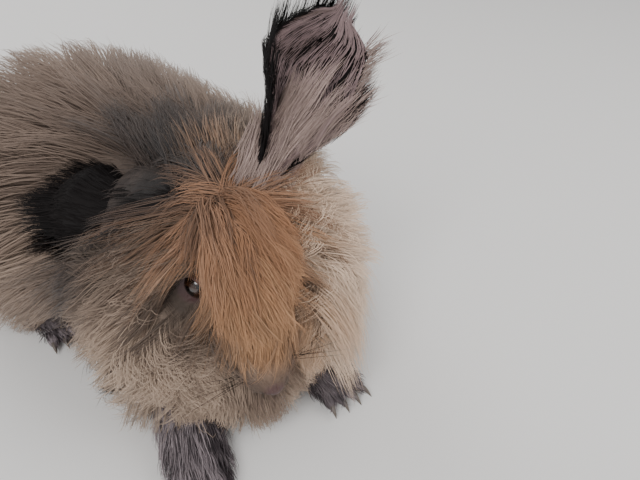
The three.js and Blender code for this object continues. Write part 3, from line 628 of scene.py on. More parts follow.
def jowl_locks():
    """Locks that hang from the left cheek over the chest and the left foreleg."""
    count = JOWL.locks
    ahead, height = between(0, 1, count), between(0, 1, count)
    root = columns(50 - 12 * ahead, -112 - 42 * ahead, 66 + 34 * height)
    tip = columns(106 - 46 * ahead, -122 - 66 * ahead, 8 + 50 * height) + between(-4, 4, count, 3)
    outward = unit(columns(1 - 0.7 * ahead, -0.3 - 0.7 * ahead, 0.2))
    elbow = root + outward * (34 + 8 * height)[:, None] + (0, 0, 4)
    return guide(root, elbow, tip, outward, tile_place("jowl", ahead, height))


def muzzle_locks():
    """Short fluffy hair on both sides of the nose and under it."""
    count = MUZZLE.locks
    turn = between(-0.25, 1.25, count) * math.pi
    back = between(*MUZZLE_BACK, count)
    wide = 10 + (back - MUZZLE_BACK[0]) * 0.32
    out = columns(np.cos(turn), -0.1, -np.sin(turn))
    root = columns(np.cos(turn) * wide * 0.8, back, -29 - np.sin(turn) * wide * 0.7)
    run = MUZZLE.length * between(0.7, 1.2, count)[:, None]
    elbow = root + out * run * 0.5
    tip = root + out * run * 0.75 + (0, 0.55, -0.1) * run
    place = tile_place("face", turn / math.pi, share_of(back, *MUZZLE_BACK))
    return guide(root, elbow, tip, out, place, HEAD_POSE)


def strand_paths(locks, wool, gather, apart):
    """Strands of a lock start apart and gather to its tip, with a wave. Returns paths and each one's lock."""
    count = len(locks["root"])
    owner = np.repeat(np.arange(count), wool.strands)
    number = len(owner)
    side = unit(np.cross(unit(locks["tip"] - locks["root"]), locks["outward"]))
    over = np.cross(side, locks["outward"])[owner]
    side, outward = side[owner], locks["outward"][owner]
    angle, size = between(0, 2 * math.pi, number, 1), np.sqrt(between(0, 1, number, 1))
    offset = (side * np.cos(angle) + over * np.sin(angle)) * size * apart
    loose = between(-1, 1, number, 3) * wool.wave
    root = locks["root"][owner] + offset
    elbow = locks["elbow"][owner] + offset * 0.9 + loose
    tip = locks["tip"][owner] + offset * gather * between(0.3, 2.2, number, 1) + loose * 1.6
    share = np.linspace(0, 1, wool.steps)[None, :, None] * between(0.7, 1.05, number, 1, 1)
    path = (1 - share) ** 2 * root[:, None] + 2 * share * (1 - share) * elbow[:, None]
    path = path + share**2 * tip[:, None]
    phase = between(0, 2 * math.pi, count)[owner, None, None] + between(-0.7, 0.7, number, 1, 1)
    swing = phase + share * between(0.5, 1.2, count)[owner, None, None] * 2 * math.pi
    size = share * wool.wave
    path = path + side[:, None] * np.sin(swing) * size + outward[:, None] * np.cos(swing) * size * 0.6
    path[:, :, 2] = np.maximum(path[:, :, 2], HEM)
    return path, owner


def in_tunnel(path, start, way, radius, run):
    """Which strands pass through a straight tunnel."""
    way = unit(way)
    out = path - np.array(start)
    along = out @ way
    off = np.linalg.norm(out - along[..., None] * way, axis=2)
    return np.any((off < radius) & (along > 0) & (along < run), axis=1)


def over_ear(path, name):
    """Which strands pass over the back of an ear, or for the raised one through it."""
    ear = ear_frame(name)
    out = brought(path, HEAD_POSE) - ear["root"]
    along, across, ahead = (out @ ear[key] for key in ("axis", "side", "front"))
    half_angle, radius, spine = ear_section(np.clip(along / EAR_LENGTH, 0, 1))
    half = np.maximum(radius * np.sin(np.minimum(half_angle, math.pi / 2)), EAR_TIP_CLEAR)
    beside = (along > FOOT_COVERED[name]) & (along < EAR_LENGTH + EAR_TIP_CLEAR) & (np.abs(across) < half + 1)
    return np.any(beside & (ahead < spine) & (ahead > -EAR_CLEAR), axis=1)


def before_eyes(path):
    """Which strands would hide an eye."""
    blocked = np.zeros(len(path), bool)
    for side, way, radius, run in SIGHT:
        blocked |= in_tunnel(path, eye_place(side), turned(way, HEAD_POSE), radius, run)
    return blocked


def in_the_way(path):
    """Strands that would hide an ear, an eye, the nose or the hind toes."""
    blocked = in_tunnel(path, *TOE_ROOM) | before_eyes(path)
    for name in EARS:
        blocked |= over_ear(path, name)
    nose = carried(NOSE[0], HEAD_POSE)
    return blocked | np.any(np.linalg.norm(path - nose, axis=2) < MUZZLE_ROOM, axis=1)


def strand_triangles(rings):
    """The faces of one three-sided strand with that many rings and a point, closed at its root."""
    faces = [(0, 1, 2)]
    for ring in range(rings - 1):
        for corner in range(3):
            a, b = ring * 3 + corner, ring * 3 + (corner + 1) % 3
            faces += [(a, a + 3, b + 3), (a, b + 3, b)]
    last = (rings - 1) * 3
    faces += [(last + corner, rings * 3, last + (corner + 1) % 3) for corner in range(3)]
    return np.array(faces)


def new_mesh(name, points, triangles, materials, attributes):
    """A smooth mesh made from arrays, with its values at each point."""
    mesh = bpy.data.meshes.new(name)
    mesh.vertices.add(len(points))
    mesh.vertices.foreach_set("co", np.ascontiguousarray(placed(points), np.float32).ravel())
    mesh.loops.add(len(triangles) * 3)
    mesh.loops.foreach_set("vertex_index", np.ascontiguousarray(triangles, np.int32).ravel())
    mesh.polygons.add(len(triangles))
    mesh.polygons.foreach_set("loop_start", np.arange(len(triangles), dtype=np.int32) * 3)
    mesh.polygons.foreach_set("use_smooth", np.full(len(triangles), True))
    mesh.update(calc_edges=True)
    for material in materials:
        mesh.materials.append(material)
    for key, values in attributes.items():
        kind = "FLOAT_VECTOR" if values.ndim == 2 else "FLOAT"
        layer = mesh.attributes.new(key, kind, "POINT")
        layer.data.foreach_set("vector" if values.ndim == 2 else "value", values.astype(np.float32).ravel())
    made = bpy.data.objects.new(name, mesh)
    bpy.context.scene.collection.objects.link(made)
    return made


def strand_piece(name, strands, material):
    """Strands as one mesh: paths, widths, outward directions, where each takes its colour from, its own
    light or dark, and its place on the bake map."""
    path, width, outward, rooted, tint, place = strands
    count, steps = path.shape[:2]
    rings = steps - 1
    tangent = unit(np.gradient(path, axis=1))
    side = unit(np.cross(tangent, outward[:, None]))
    up = np.cross(side, tangent)
    along = np.linspace(0, 1, steps)
    taper = (0.75 + 0.5 * along * (1 - along)) * (1 - along**3)
    half = width[:, None, None, None] * 0.5 * taper[None, :rings, None, None]
    angles = np.radians([90, 210, 330])
    ring = (
        np.cos(angles)[None, None, :, None] * side[:, :rings, None]
        + np.sin(angles)[None, None, :, None] * up[:, :rings, None] * STRAND_FLATNESS
    )
    body = (path[:, :rings, None] + ring * half).reshape(count, rings * 3, 3)
    points = np.concatenate([body, path[:, -1:]], axis=1)
    each = points.shape[1]
    faces = strand_triangles(rings)
    triangles = (faces[None] + (np.arange(count) * each)[:, None, None]).reshape(-1, 3)
    along_each = np.append(np.repeat(along[:rings], 3), 1.0)
    attributes = {
        "rooted": np.repeat(rooted, each, axis=0),
        "along": np.tile(along_each, count),
        "tint": np.repeat(tint, each),
    }
    made = new_mesh(name, points.reshape(-1, 3), triangles, [material], attributes)
    own = np.concatenate([unit(ring.reshape(count, rings * 3, 3)), tangent[:, -1:]], axis=1)
    shading = unit(own * OWN_SHADE + outward[:, None] * (1 - OWN_SHADE))
    made.data.normals_split_custom_set_from_vertices(shading.reshape(-1, 3))
    corner_across = np.append(np.tile([0.5, 0.0, 1.0], rings), 0.5) - 0.5
    corner_place = np.stack([corner_across, along_each - 0.5], axis=1) * PATCH
    uv = (place[:, None, None] + corner_place[faces][None]).reshape(-1, 2)
    made.data.uv_layers.new(name="OFBake").data.foreach_set("uv", uv.astype(np.float32).ravel())
    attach(made, BODY)


def strand_pieces(name, strands, material):
    """Splits strands over as many pieces as keep each one light enough, each spread over the whole form."""
    count, steps = strands[0].shape[:2]
    parts = math.ceil(count * len(strand_triangles(steps - 1)) / MOST_TRIANGLES)
    for part in range(parts):
        piece = f"{name}_{part + 1}" if parts > 1 else name
        strand_piece(piece, [values[part::parts] for values in strands], material)


def lock_piece(name, locks, wool, material, gather=0.35, apart=None, cleared=False):
    path, owner = strand_paths(locks, wool, gather, apart or wool.length * 0.17)
    if cleared:
        free = ~in_the_way(path)
        path, owner = path[free], owner[free]
    lock_tint = between(0, 1, len(locks["root"]))
    tint = 0.7 * lock_tint[owner] + 0.3 * between(0, 1, len(owner))
    width = wool.width * between(0.7, 1.3, len(owner))
    rooted = locks["root"][owner] + between(-3, 3, len(owner), 3)
    strands = (path, width, locks["outward"][owner], rooted, tint, locks["place"][owner])
    strand_pieces(name, strands, material)


# Surfaces of the skin, each a pair of points and triangles
def grid_triangles(rows, width, closed=False):
    """The faces of a grid of points, whose rows may close on themselves."""
    faces = []
    for row in range(rows - 1):
        for column in range(width if closed else width - 1):
            a, b = row * width + column, row * width + (column + 1) % width
            faces += [(a, b, b + width), (a, b + width, a + width)]
    return np.array(faces)


def ball_directions(rounds, rings, crowd=1.0):
    """A grid of directions round the y axis, closed at both ends. crowd above 1 packs its rings to -y."""
    share = (np.linspace(0.0, 1.0, rings) ** crowd)[:, None]
    polar = math.pi * np.clip(share, 1e-4, 1 - 1e-4)
    round_angle = np.linspace(0, 2 * math.pi, rounds, endpoint=False)[None, :]
    x = np.sin(polar) * np.cos(round_angle)
    z = np.sin(polar) * np.sin(round_angle)
    return np.stack([x, -np.cos(polar) + 0 * x, z], axis=2).reshape(-1, 3)


def ball(at, radii, rounds, rings, facing=(0, 1, 0)):
    turn = np.array(Vector((0, 1, 0)).rotation_difference(Vector(facing)).to_matrix())
    points = ball_directions(rounds, rings) * np.array(radii) @ turn.T + np.array(at)
    return points, grid_triangles(rings, rounds, True)


def ring_tube(radius, thickness, height, at, facing, rounds=36, sides=10):
    """A lid: a ring flattened from above and below, facing along the gaze."""
    turn = np.array(Vector((0, 0, 1)).rotation_difference(Vector(facing)).to_matrix())
    a = np.linspace(0, 2 * math.pi, rounds, endpoint=False)[:, None]
    b = np.linspace(0, 2 * math.pi, sides, endpoint=False)[None, :]
    wide = radius + thickness * np.cos(b)
    deep = thickness * 1.2 * np.sin(b) + 0 * a
    points = np.stack([wide * np.cos(a), wide * np.sin(a) * height, deep], axis=2)
    rows = np.concatenate([points, points[:1]], axis=0)
    return rows.reshape(-1, 3) @ turn.T + np.array(at), grid_triangles(rounds + 1, sides, True)


def sampled(position, knots, table):
    """Rows of a table of places or directions, read off between its knots."""
    return columns(*[np.interp(position, knots, table[:, axis]) for axis in range(3)])


def smooth_line(points, count=60):
    """A curve through points, with its places evenly spaced."""
    p = np.array(points, float)
    p = np.concatenate([[2 * p[0] - p[1]], p, [2 * p[-1] - p[-2]]])
    t = np.linspace(0, 1, 20, endpoint=False)[:, None]
    found = []
    for i in range(1, len(p) - 2):
        a, b, c, d = p[i - 1 : i + 3]
        bend, turn = 2 * a - 5 * b + 4 * c - d, 3 * b - a - 3 * c + d
        found.append(0.5 * (2 * b + (c - a) * t + bend * t**2 + turn * t**3))
    line = np.concatenate([*found, p[-2:-1]])
    length = np.append(0, np.cumsum(np.linalg.norm(np.diff(line, axis=0), axis=1)))
    return sampled(np.linspace(0, length[-1], count), length, line)


face_field = fused([*HEAD_FLESH, NOSE, *[(mirrored(LIPS[0], side), LIPS[1]) for side in SIDES]], 4)


def groove_gap(points):
    """How far points are from the mouth, the cleft under the nose and the nostrils, in the head's frame."""
    lines = [CLEFT] + [[mirrored(place, side) for place in MOUTH] for side in SIDES]
    grooves = [smooth_line(line, 30) for line in lines] + [[mirrored(NOSTRIL, side)] for side in SIDES]
    return nearest(points, np.concatenate(grooves))


def face_skin(directions):
    """How far out the head's skin lies: at the roots of the wool, or on the nose and lips."""
    return np.maximum(HEAD.skin(directions), reach(face_field, HEAD.centre, directions))


def head_skin(rounds=150, rings=130):
    """The head: flesh, nose and lips, out to the roots of the wool, with the mouth and nostrils cut in.
    Also returns how deep in a groove each point is, which the skin's material paints near black as shade."""
    directions = ball_directions(rounds, rings, crowd=1.5)
    points = HEAD.centre + directions * face_skin(directions)[:, None]
    groove = np.clip(1 - (groove_gap(points) / GROOVE_REACH) ** 2, 0, 1)
    socket = np.clip(EYE_RADIUS + SOCKET_REACH - nearest(points, EYES), 0, SOCKET_DEPTH)
    points = points - directions * (GROOVE_DEPTH * groove + socket)[:, None]
    return (carried(points, HEAD_POSE), grid_triangles(rings, rounds, True)), groove


def form_skin(form, rounds=72, rings=48):
    directions = ball_directions(rounds, rings)
    points = carried(form.centre + directions * form.skin(directions)[:, None], form.pose)
    points[:, 2] = np.maximum(points[:, 2], HEM)
    return points, grid_triangles(rings, rounds, True)


def posed(surface, pose):
    points, triangles = surface
    return carried(points, pose), triangles


def lid_skin(side):
    at = mirrored(EYE, side) + gaze(side) * LID_FORWARD
    return posed(ring_tube(LID_RADIUS, LID_THICKNESS, LID_HEIGHT, at, gaze(side)), HEAD_POSE)


def ear_skin(name, across=30, along=44):
    """A cupped leaf with thin rims, and the round root it grows from."""
    ear = ear_frame(name)
    share = np.repeat(np.linspace(0, 1, along), across)
    edge = np.tile(np.linspace(-1, 1, across), along)
    thick = EAR_SKIN * 0.5 * np.sqrt(np.maximum(0.05, 1 - np.maximum(np.abs(edge), share**3) ** 4))
    outer, _ = ear_place(ear, share, edge, thick)
    inner, _ = ear_place(ear, share, edge, -thick)
    sheet = grid_triangles(along, across)
    count = across * along
    border = [*range(across), *range(2 * across - 1, count, across)]
    border += [*range(count - 2, count - across - 1, -1), *range(count - 2 * across, 0, -across)]
    rim = []
    for a, b in zip(border, border[1:] + border[:1]):
        rim += [(a, a + count, b + count), (a, b + count, b)]
    faces = np.concatenate([sheet[:, ::-1], sheet + count, np.array(rim)])
    leaf = np.concatenate([outer, inner]), faces
    root = ball(ear["root"], EAR_ROOT_RADII, 20, 14, facing=ear["axis"])
    return [posed(leaf, HEAD_POSE), posed(root, HEAD_POSE)]


# Legs
def girth_at(girth, share):
    wide, wider, tall, taller = girth
    return wide + wider * share, tall + taller * share


LEGS = {
    "foreleg_right": (FORELEG_RIGHT, FORELEG_GIRTH, STILL),
    "foreleg_left": (FORELEG_LEFT, FORELEG_GIRTH, STILL),
    "hind_leg_right": (HIND_FOOT_RIGHT, FOOT_GIRTH, TRUNK_POSE),
    "hind_leg_left": (HIND_FOOT_LEFT, FOOT_GIRTH, TRUNK_POSE),
}
THIGHS = [THIGH_RIGHT, THIGH_LEFT]


def limb_place(line, girth, share, angle):
    """Places on a round-ended limb, with the outward and toeward directions there."""
    line = smooth_line(line)
    position, rows = share * (len(line) - 1), np.arange(len(line))
    at = sampled(position, rows, line)
    tangent = unit(sampled(position, rows, unit(np.gradient(line, axis=0))))
    side = unit(np.cross(tangent, (0.01, 0, 1)))
    up = np.cross(side, tangent)
    wide, tall = girth_at(girth, share)
    fullness = np.maximum(0, 1 - (1 - 2 * share) ** 2) ** 0.22
    across = np.cos(angle) * (wide - LEG_INSET) * fullness
    over = np.sin(angle) * (tall - LEG_INSET) * fullness
    points = at + side * across[:, None] + up * over[:, None]
    outward = unit(side * (np.cos(angle) * tall)[:, None] + up * (np.sin(angle) * wide)[:, None])
    points[:, 2] = np.maximum(points[:, 2], LEG_INSET * 0.3)
    return points, outward, tangent


def limb_skin(line, girth, rounds=28, rings=30):
    share = np.repeat(0.5 - 0.5 * np.cos(np.linspace(0.02, math.pi - 0.02, rings)), rounds)
    angle = np.tile(np.linspace(0, 2 * math.pi, rounds, endpoint=False), rings)
    points, _, _ = limb_place(line, girth, share, angle)
    return points, grid_triangles(rings, rounds, True)


def toe_places(name):
    """Where each toe lies and which way it points, in the leg's own frame."""
    line, girth, _ = LEGS[name]
    end = np.array(line[-1], float)
    ahead = end - np.array(line[-2])
    ahead = unit(ahead * (1, 1, 0))
    across = np.cross(ahead, (0, 0, 1))
    wide, _ = girth_at(girth, 1.0)
    found = []
    for i in range(TOE_COUNT):
        place = i - (TOE_COUNT - 1) / 2
        fan = -math.radians(place * TOE_FAN)
        facing = np.array(Matrix.Rotation(fan, 3, "Z") @ Vector(ahead))
        at = end + across * (place * wide * 1.5 / TOE_COUNT) + facing * (2 - abs(place))
        at[2] = TOE_RADII[2] - 1.2
        found.append((at, facing))
    return found


def toe_skins(name):
    found = []
    for at, facing in toe_places(name):
        points, faces = ball(at, np.array(TOE_RADII) - 0.6, 14, 10, facing=facing)
        points[:, 2] = np.maximum(points[:, 2], 0.3)
        found.append(posed((points, faces), LEGS[name][2]))
    return found


def claws(rings=7, sides=10):
    """Curved tapering claws, one to a toe, as one piece."""
    share = np.linspace(0, 1, rings)
    drop = np.radians(CLAW_DROP * (0.5 + share * 1.1))
    radius = CLAW_RADIUS * (1 - share**1.6 * 0.9)
    angle = np.linspace(0, 2 * math.pi, sides, endpoint=False)[None, :, None]
    parts = []
    for name, (_, _, pose) in LEGS.items():
        for at, facing in toe_places(name):
            root = at + facing * (TOE_RADII[1] * 0.72) + (0, 0, CLAW_HEIGHT)
            steps = columns(facing[0] * np.cos(drop), facing[1] * np.cos(drop), -np.sin(drop))
            path = root + np.cumsum(steps * CLAW_LENGTH / (rings - 1), axis=0)
            ring = np.cos(angle) * np.cross(facing, (0, 0, 1)) + np.sin(angle) * np.array((0, 0, 1.15))
            points = (path[:, None] + ring * radius[:, None, None]).reshape(-1, 3)
            points[:, 2] = np.maximum(points[:, 2], 0.25)
            parts.append(posed((points, grid_triangles(rings, sides, True)), pose))
    return joined(parts)


def faced_outward(points, triangles):
    """The triangles of a closed surface, turned about where they face into it."""
    a, b, c = (points[triangles[:, corner]] - points.mean(axis=0) for corner in range(3))
    return triangles if np.sum(np.cross(a, b) * c) > 0 else triangles[:, ::-1]


def joined(parts):
    """Several surfaces as one list of points and triangles."""
    starts = np.cumsum([0] + [len(points) for points, _ in parts])
    triangles = [faced_outward(*part) + start for part, start in zip(parts, starts)]
    return np.concatenate([points for points, _ in parts]), np.concatenate(triangles)


OF_WOOL, OF_EARS, OF_LEGS = range(3)  # the numbers of the skin's materials


def skin_parts(head):
    """The parts of the skin, the head's first, each with the number of its material."""
    tail = posed(ball(TAIL_AT, np.array(TAIL_RADII) - 2, 24, 16), TRUNK_POSE)
    wool = [head, form_skin(RUFF), form_skin(TRUNK, 96, 64), *[lid_skin(side) for side in SIDES], tail]
    parts = [(part, OF_WOOL) for part in wool]
    for name in EARS:
        parts += [(part, OF_EARS) for part in ear_skin(name)]
    for name, (line, girth, pose) in LEGS.items():
        parts += [(part, OF_LEGS) for part in (posed(limb_skin(line, girth), pose), *toe_skins(name))]
    parts += [(posed(limb_skin(line, THIGH_GIRTH), TRUNK_POSE), OF_LEGS) for line in THIGHS]
    return parts


# Short fur: single strands that lie along the skin
def lying_fur(name, root, outward, flow, fur, place, material, lift, lengths=None):
    """Strands that rise a little from the skin and run along the flow."""
    count = len(root)
    lengths = fur.length * between(0.7, 1.2, count) if lengths is None else lengths
    flow = flow - outward * np.sum(flow * outward, axis=1, keepdims=True)
    flow = unit(flow + between(-0.18, 0.18, count, 3))
    share = np.linspace(0, 1, fur.steps)[None, :, None]
    rise = lift * (2 * share - 1.3 * share**2)
    run = lengths[:, None, None]
    path = (root - outward * 0.6)[:, None] + flow[:, None] * share * run + outward[:, None] * rise * run
    path[:, :, 2] = np.maximum(path[:, :, 2], 0.4)
    width = fur.width * between(0.7, 1.3, count)
    strands = (path, width, outward, root, between(0, 1, count), place)
    free = ~before_eyes(path)
    strand_pieces(name, [values[free] for values in strands], material)


def undercoat(form, material):
    """Short soft fur on the skin between and under the locks."""
    count = UNDERCOAT.strands[form.tile]
    directions = unit(unit(golden_spread(count) * form.stretch) + between(-0.02, 0.02, count, 3))
    root = form.centre + directions * form.skin(directions)[:, None]
    root, outward, flow = in_pose(form.pose, root, slope(form.tip_field, root), form.lie(root))
    shows = outside_others(form, root, 2)
    shows &= nearest(root, [eye_place(side) for side in SIDES]) > EYE_RADIUS + UNDERCOAT_TO_EYE
    shows &= nearest(root, [carried(NOSE[0], HEAD_POSE)]) > UNDERCOAT_TO_NOSE
    place = ball_place(form.tile, directions)
    root, outward, flow, place = (each[shows] for each in (root, outward, flow, place))
    lying_fur(form.tile + "_undercoat", root, outward, flow, UNDERCOAT, place, material, lift=0.35)


def face_fur(material):
    """Short fur over the parts of the head that have little wool, running back from the nose."""
    count = FACE_FUR.strands
    directions = unit(golden_spread(count) + (0, -0.8, 0.15) + between(-0.01, 0.01, count, 3))
    deep = HEAD.tips(directions) - HEAD.bare(directions)
    root = HEAD.centre + directions * face_skin(directions)[:, None]
    eyes = nearest(root, EYES)
    off_nose = np.linalg.norm((root - NOSE[0]) / BARE_NOSE, axis=1) > 1
    short = (deep < FUR_BELOW * 1.8) | (eyes < EYE_RADIUS + EYE_SURROUND)
    chosen = short & (eyes > EYE_RADIUS + FUR_TO_EYE) & off_nose & (groove_gap(root) > BARE_GROOVE)
    directions, root = directions[chosen], root[chosen]
    far = np.clip(nearest(root, [NOSE[0]]) / 70, 0.3, 1.1)
    lengths = FACE_FUR.length * (0.25 + far) * between(0.8, 1.2, len(root))
    flow = columns(root[:, 0] * 0.02, 1.0, 0.25)
    root, outward, flow = in_pose(HEAD_POSE, root, slope(face_field, root), flow)
    place = ball_place("face", directions)
    lying_fur("face_fur", root, outward, flow, FACE_FUR, place, material, 0.28, lengths)


def whiskers(material):
    """Long single hairs from the sides of the muzzle."""
    count = WHISKERS.strands
    side = np.where(np.arange(count) % 2 == 0, LEFT, RIGHT)
    root = columns(side * between(8, 11, count), between(-113, -104, count), between(-34, -24, count))
    way = unit(columns(side * 1.0, between(-0.25, 0.35, count), between(-0.35, 0.35, count)))
    share = np.linspace(0, 1, WHISKERS.steps)[None, :, None]
    run = WHISKERS.length * between(0.6, 1.1, count, 1, 1)
    sag = np.array((0, 0, -WHISKER_SAG)) * share**2
    path = carried(root[:, None] + way[:, None] * share * run + sag, HEAD_POSE)
    outward = np.tile(turned((0, 0, 1), HEAD_POSE), (count, 1))
    place = tile_place("face", between(0.4, 0.6, count), between(0, 0.1, count))
    strands = (path, np.full(count, WHISKERS.width), outward, path[:, 0], np.full(count, 0.2), place)
    strand_pieces("whiskers", strands, material)


def leg_fur(name, fur, material):
    """Short fur over a leg and on each of its toes."""
    line, girth, pose = LEGS[name]
    share, angle = between(0.12, 0.985, fur.strands), between(-0.5, math.pi + 0.5, fur.strands)
    parts = [limb_place(line, girth, share, angle)]
    for at, facing in toe_places(name):
        out = unit(between(-1, 1, TOE_HAIRS, 3) * (1, 1, 0.5) + (0, 0, 0.55))
        radii = (TOE_RADII[0], TOE_RADII[1] * 0.85, TOE_RADII[2] - 0.6)
        parts.append((at + out * radii, out, np.tile(facing, (TOE_HAIRS, 1))))
    on_toes = TOE_HAIRS * TOE_COUNT
    shortening = np.interp(share, [0, 0.7, 1], [1.25, 1.0, 0.6])
    lengths = fur.length * shortening * between(0.75, 1.2, fur.strands)
    on_toe_tile = tile_place(name, between(0, 1, on_toes), between(0.93, 1, on_toes))
    place = np.concatenate([tile_place(name, angle / math.pi, share), on_toe_tile])
    lengths = np.concatenate([lengths, between(5, 9, on_toes)])
    root, outward, flow = in_pose(pose, *[np.concatenate(each) for each in zip(*parts)])
    lying_fur(name + "_fur", root, outward, flow, fur, place, material, 0.34, lengths)


def leg_fringe(name, material):
    """Longer locks that hang over a leg from under the wool."""
    line, girth, pose = LEGS[name]
    count = LEG_FRINGE.locks
    share, angle = between(0.25, 0.72, count), between(0.0, math.pi, count)
    root, outward, tangent = limb_place(line, girth, share, angle)
    run = LEG_FRINGE.length * between(0.8, 1.15, count)[:, None]
    elbow = root + outward * 7 + tangent * run * 0.4
    tip = root + outward * 5 + tangent * run
    tip[:, 2] = np.maximum(tip[:, 2], 3)
    locks = guide(root, elbow, tip, outward, tile_place(name, angle / math.pi, share), pose)
    lock_piece(name + "_fringe", locks, LEG_FRINGE, material, apart=5)


def ear_lying_fur(name, face, fur, side, material):
    """Short fur that follows the leaf of an ear, on its back or, with side -1, in its cup."""
    ear, count = ear_frame(name), fur.strands
    share, edge = between(-0.02, 0.98, count), between(-1, 1, count)
    lengths = fur.length * between(0.7, 1.25, count)
    veer = edge * 0.06 + between(-0.07, 0.07, count)
    path = []
    for step in np.linspace(0, 1, fur.steps):
        at = share + step * lengths / EAR_LENGTH
        height = side * (EAR_SKIN / 2 - 0.5 + lengths * 0.2 * (2 * step - step**2))
        points, _ = ear_place(ear, np.clip(at, 0, 1), np.clip(edge + veer * step, -1, 1), height)
        past = np.maximum(at - 1, 0) * EAR_LENGTH
        path.append(carried(points + past[:, None] * ear["axis"], HEAD_POSE))
    path = np.stack(path, axis=1)
    _, outward = ear_place(ear, np.clip(share, 0, 1), edge, 0)
    width = fur.width * between(0.7, 1.3, count)
    place = tile_place(name, (edge + 1) / 2, share)
    strands = (path, width, turned(outward * side, HEAD_POSE), path[:, 0], between(0, 1, count), place)
    strand_pieces(f"{name}_{face}_fur", strands, material)


def ear_lock_piece(name, part, wool, material, share, edge, run, sideways, lift, off, gather, apart):
    """Locks that grow from an ear: along its axis and to its side, lifted off its surface."""
    ear = ear_frame(name)
    root, away = ear_place(ear, share, edge, lift)
    away = away * np.sign(lift)
    run, sideways = run[:, None], sideways[:, None]
    elbow = root + away * off + (ear["axis"] + ear["side"] * sideways * 0.6) * run * 0.4
    tip = root + away * off * 0.6 + (ear["axis"] * 0.92 + ear["side"] * sideways) * run
    locks = guide(root, elbow, tip, away, tile_place(name, (edge + 1) / 2, share), HEAD_POSE)
    lock_piece(f"{name}_{part}", locks, wool, material, gather, apart)


def ear_foot_locks(name):
    """Hair that grows from the head round the foot of an ear and lies along its upper face."""
    ear, count = ear_frame(name), EAR_FOOT_HAIR.locks
    upper = ear["front"] if name == "ear_left" else -ear["front"]
    along, across = between(*FOOT_HAIR_ALONG, count), between(*FOOT_HAIR_ACROSS, count)
    behind = ear["root"] + along[:, None] * ear["axis"] + across[:, None] * ear["side"] + 5 * upper
    directions = unit(behind + 7 * upper - HEAD.centre)
    skin = HEAD.centre + directions * HEAD.skin(directions)[:, None]
    rise = np.clip((skin - behind) @ upper, 0, 8)[:, None]
    run = EAR_FOOT_HAIR.length * between(0.7, 1.2, count)[:, None]
    root = behind + (rise - 1) * upper
    elbow = root + 5 * upper + ear["axis"] * run * 0.45
    tip = root - (2 + 0.6 * rise) * upper + ear["axis"] * run + ear["side"] * across[:, None] * 0.25
    place = tile_place(name, share_of(across, *FOOT_HAIR_ACROSS), along / 60 + 0.1)
    return guide(root, elbow, tip, np.tile(upper, (count, 1)), place, HEAD_POSE)


def ear_fur(name, back, cup, hair):
    """Fur on both faces of an ear, long soft hair in its cup, hair along its rims and a tassel at its tip."""
    ear_lying_fur(name, "back", EAR_BACK_FUR, 1, back)
    ear_lying_fur(name, "cup", EAR_CUP_FUR, -1, cup)
    foot_material = hair if name == "ear_left" else back
    lock_piece(name + "_foot_hair", ear_foot_locks(name), EAR_FOOT_HAIR, foot_material, 0.5, 5)
    across = np.linspace(-1, 1, TASSEL.locks)
    share, edge = 0.88 - 0.5 * np.abs(across) ** 1.6, np.clip(across * 1.2, -0.94, 0.94)
    run = TASSEL.length * (1 - 0.3 * np.abs(across)) * between(0.75, 1.15, TASSEL.locks)
    ear_lock_piece(name, "tassels", TASSEL, back, share, edge, run, across * 0.35, 0.3, 2, 0.5, 5)
    count = CUP_HAIR.locks
    share, edge = between(0.02, 0.42, count), between(-0.95, 0.8, count)
    run = CUP_HAIR.length * between(0.7, 1.2, count)
    sideways = edge * 0.3 - 0.08
    ear_lock_piece(name, "cup_hair", CUP_HAIR, hair, share, edge, run, sideways, -EAR_SKIN / 2, 5, 0.6, 4)
    count = RIM_HAIR.locks
    share = np.linspace(0.08, 0.9, count) + between(-0.02, 0.02, count)
    run = RIM_HAIR.length * between(0.7, 1.25, count)
    sideways = between(-0.75, -0.3, count)
    ear_lock_piece(name, "rim_hair", RIM_HAIR, hair, share, -0.97, run, sideways, -0.3, 2, 0.8, 4)


def tail_locks():
    """Short locks all round the tail, turned up and back."""
    directions = golden_spread(TAIL_FUR.locks)
    root = np.array(TAIL_AT) + directions * np.array(TAIL_RADII) * 0.86
    flow = unit(directions * 0.6 + (0, 0.5, 1.0)) * TAIL_FUR.length
    out = directions * TAIL_FUR.length
    elbow, tip = root + out * 0.3 + flow * 0.25, root + out * 0.38 + flow * 0.85
    return guide(root, elbow, tip, directions, ball_place("tail", directions), TRUNK_POSE)


# Materials
class Wire:
    """A value in a material. Arithmetic on wires adds Math nodes."""

    def __init__(self, paint, socket):
        self.paint, self.socket = paint, socket

    def maths(self, operation, first, second=0.0, clamp=False):
        settings = {"operation": operation, "use_clamp": clamp}
        return self.paint.node("ShaderNodeMath", settings, {0: first, 1: second})

    def __add__(self, other):
        return self.maths("ADD", self, other)

    def __sub__(self, other):
        return self.maths("SUBTRACT", self, other)

    def __rsub__(self, other):
        return self.maths("SUBTRACT", other, self)

    def __mul__(self, other):
        return self.maths("MULTIPLY", self, other)

    def __truediv__(self, other):
        return self.maths("DIVIDE", self, other)

    __radd__ = __add__
    __rmul__ = __mul__

    def clamped(self):
        return self.maths("ADD", self, 0.0, clamp=True)


